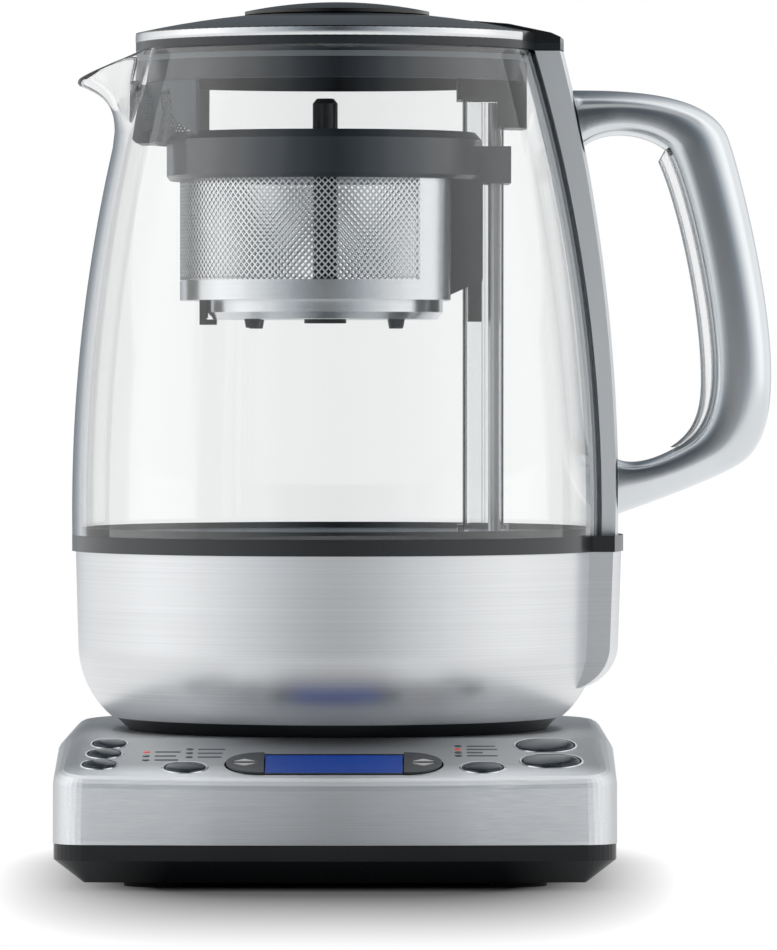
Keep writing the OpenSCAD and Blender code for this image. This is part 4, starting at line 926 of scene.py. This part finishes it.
def stage_object(name, points, faces, mat):
    """A mesh object of the studio, which is no part of the product."""
    mesh = bpy.data.meshes.new(name)
    mesh.from_pydata(points, [], faces)
    mesh.materials.append(mat)
    obj = bpy.data.objects.new(name, mesh)
    bpy.context.scene.collection.objects.link(obj)
    return obj


def rectangle(w, h):
    """Points and faces of a flat plate that reaches w and h to each side."""
    return [(-w, -h, 0), (w, -h, 0), (w, h, 0), (-w, h, 0)], [(0, 1, 2, 3)]


def hide_from(obj, *rays):
    """Keeps an object out of what these kinds of ray see."""
    for ray in rays:
        setattr(obj, f"visible_{ray}", False)


def make_world():
    """White where it is seen, also in metal and through glass, and an even light elsewhere."""
    world = bpy.data.worlds.new("world")
    bpy.context.scene.world = world
    world.use_nodes = True
    tree = world.node_tree
    tree.nodes.clear()
    add, link = tree.nodes.new, tree.links.new
    path = add("ShaderNodeLightPath").outputs
    seen = path["Is Camera Ray"]
    for ray in ("Is Glossy Ray", "Is Transmission Ray"):
        either = add("ShaderNodeMath")
        either.operation = "MAXIMUM"
        link(seen, either.inputs[0])
        link(path[ray], either.inputs[1])
        seen = either.outputs[0]
    mix, out = add("ShaderNodeMixShader"), add("ShaderNodeOutputWorld")
    link(seen, mix.inputs[0])
    for i, strength in enumerate((LIGHT_LEVEL, 1.0)):
        background = add("ShaderNodeBackground")
        background.inputs["Color"].default_value = WHITE
        background.inputs["Strength"].default_value = strength
        link(background.outputs[0], mix.inputs[i + 1])
    link(mix.outputs[0], out.inputs["Surface"])


def make_floor():
    """A floor that keeps the object's shadow, deepened by a painted grey shade, and turns plain
    white round about it.

    The painted shade runs further in front than at the sides, so X counts by its square, and the
    way behind the object counts more than the way in front.
    """
    s = Shader("floor")
    # Painted shade: dark grey wherever the floor isn't faded to white.
    s.set(Base_Color=(FLOOR_SHADE_TONE, FLOOR_SHADE_TONE, FLOOR_SHADE_TONE, 1), Roughness=0.9)
    s.set(Specular_IOR_Level=0.0)
    place = s.from_axis()
    across = s.calc("DIVIDE", s.calc("MULTIPLY", place["X"], place["X"]), FLOOR_NARROW)
    ahead = s.calc("MULTIPLY", place["Y"], -1.0)
    behind = s.calc("MULTIPLY", place["Y"], FLOOR_BEHIND)
    along = s.calc("MAXIMUM", ahead, behind)
    spot = s.add("ShaderNodeCombineXYZ", {"X": across, "Y": along}).outputs[0]
    far = s.add("ShaderNodeVectorMath", {0: spot}, operation="LENGTH").outputs["Value"]
    path = s.add("ShaderNodeLightPath").outputs
    unseen = s.calc("MAXIMUM", path["Is Diffuse Ray"], path["Is Shadow Ray"])
    fade = s.calc("MULTIPLY", s.ranged(far, *FLOOR_FADE), s.calc("SUBTRACT", 1.0, unseen))
    white = s.add("ShaderNodeEmission", {"Color": WHITE, "Strength": 1.0})
    s.blend(fade, s.bsdf.outputs[0], white.outputs[0])
    floor = stage_object("floor", *rectangle(FLOOR_REACH, FLOOR_REACH), s.mat)


def make_card(name, azimuth, elevation, distance, width, height, level, mirrored):
    """A studio card seen only in metal, or only through glass. Azimuth 0 is the camera's side."""
    name = f"card_{name}"
    s = Shader(name)
    glow = s.add("ShaderNodeEmission", {"Color": (level, level, level, 1), "Strength": 1.0})
    s.put(s.out.inputs["Surface"], glow.outputs[0])
    card = stage_object(name, *rectangle(width / 2, height / 2), s.mat)
    a, e = math.radians(azimuth), math.radians(elevation)
    away = Vector((math.sin(a) * math.cos(e), -math.cos(a) * math.cos(e), math.sin(e)))
    card.location = Vector(CARD_AIM) + away * distance
    card.rotation_mode = "QUATERNION"
    card.rotation_quaternion = away.to_track_quat("Z", "Y")
    hide_from(card, "camera", "diffuse", "shadow", "transmission" if mirrored else "glossy")


def make_lamp(name, place, size, power):
    """A soft lamp that lights the scene but doesn't show in metal or through glass."""
    data = bpy.data.lights.new(name, "AREA")
    data.shape = "RECTANGLE"
    data.size, data.size_y = size
    data.energy = power
    lamp = bpy.data.objects.new(name, data)
    bpy.context.scene.collection.objects.link(lamp)
    lamp.location = place
    lamp.rotation_mode = "QUATERNION"
    aim = Vector(LAMP_AIM) - Vector(place)
    lamp.rotation_quaternion = aim.to_track_quat("-Z", "Y")
    hide_from(lamp, "glossy", "transmission")


def studio_colours(ramp):
    """Sets the ramp's stops, from straight behind round by the left and the front to the right."""
    ramp.interpolation = "EASE"
    stops = ramp.elements
    signed = [(-azimuth, left) for azimuth, left, _ in STUDIO[:0:-1]]
    signed += [(azimuth, right) for azimuth, _, right in STUDIO]
    for azimuth, level in signed:
        where = 0.5 + azimuth / 360
        stop = stops.new(where) if 0 < where < 1 else stops[0 if azimuth < 0 else -1]
        dark = max(0.0, 1 - level)
        stop.color = (*(level * (1 + lean * dark) for lean in STUDIO_TINT), 1)


def make_studio():
    """A drum that only reflections see: dark in front and behind, light at the sides."""
    s = Shader("studio")
    place = s.add("ShaderNodeSeparateXYZ", {0: s.place}).outputs
    turn = s.calc("ARCTAN2", place["X"], s.calc("MULTIPLY", place["Y"], -1))
    ramp = s.add("ShaderNodeValToRGB", {"Fac": s.ranged(turn, -math.pi, math.pi)})
    studio_colours(ramp.color_ramp)
    glow = s.add("ShaderNodeEmission", {"Color": ramp.outputs["Color"], "Strength": 1.0})
    # Rays that reached it straight through the glass go on to the white behind it.
    bounces = s.add("ShaderNodeLightPath").outputs["Glossy Depth"]
    straight = s.calc("LESS_THAN", bounces, 0.5)
    beyond = s.add("ShaderNodeBsdfTransparent", {"Color": WHITE})
    s.blend(straight, glow.outputs[0], beyond.outputs[0])
    points = []
    for r, z in (
        (STUDIO_R, STUDIO_LOW), (STUDIO_R, STUDIO_HIGH), (STUDIO_HOLE_R, STUDIO_HIGH),
    ):
        for i in range(STUDIO_SIDES):
            a = 2 * math.pi * i / STUDIO_SIDES
            points.append((r * math.cos(a), r * math.sin(a), z))
    drum = stage_object("studio", points, skin(3, STUDIO_SIDES), s.mat)
    hide_from(drum, "camera", "diffuse", "shadow")


def make_stage():
    make_world()
    make_floor()
    make_studio()
    for card in CARDS:
        make_card(*card)
    for lamp in LAMPS:
        make_lamp(*lamp)


make_camera()
make_stage()
dress_nodes()
make_glass()
make_handle()
make_basket()
make_lid_rim()
make_filter()
make_keys()
make_panel_marks()
make_arrows()
make_display_lines()
bpy.context.scene.view_settings.view_transform = "Standard"
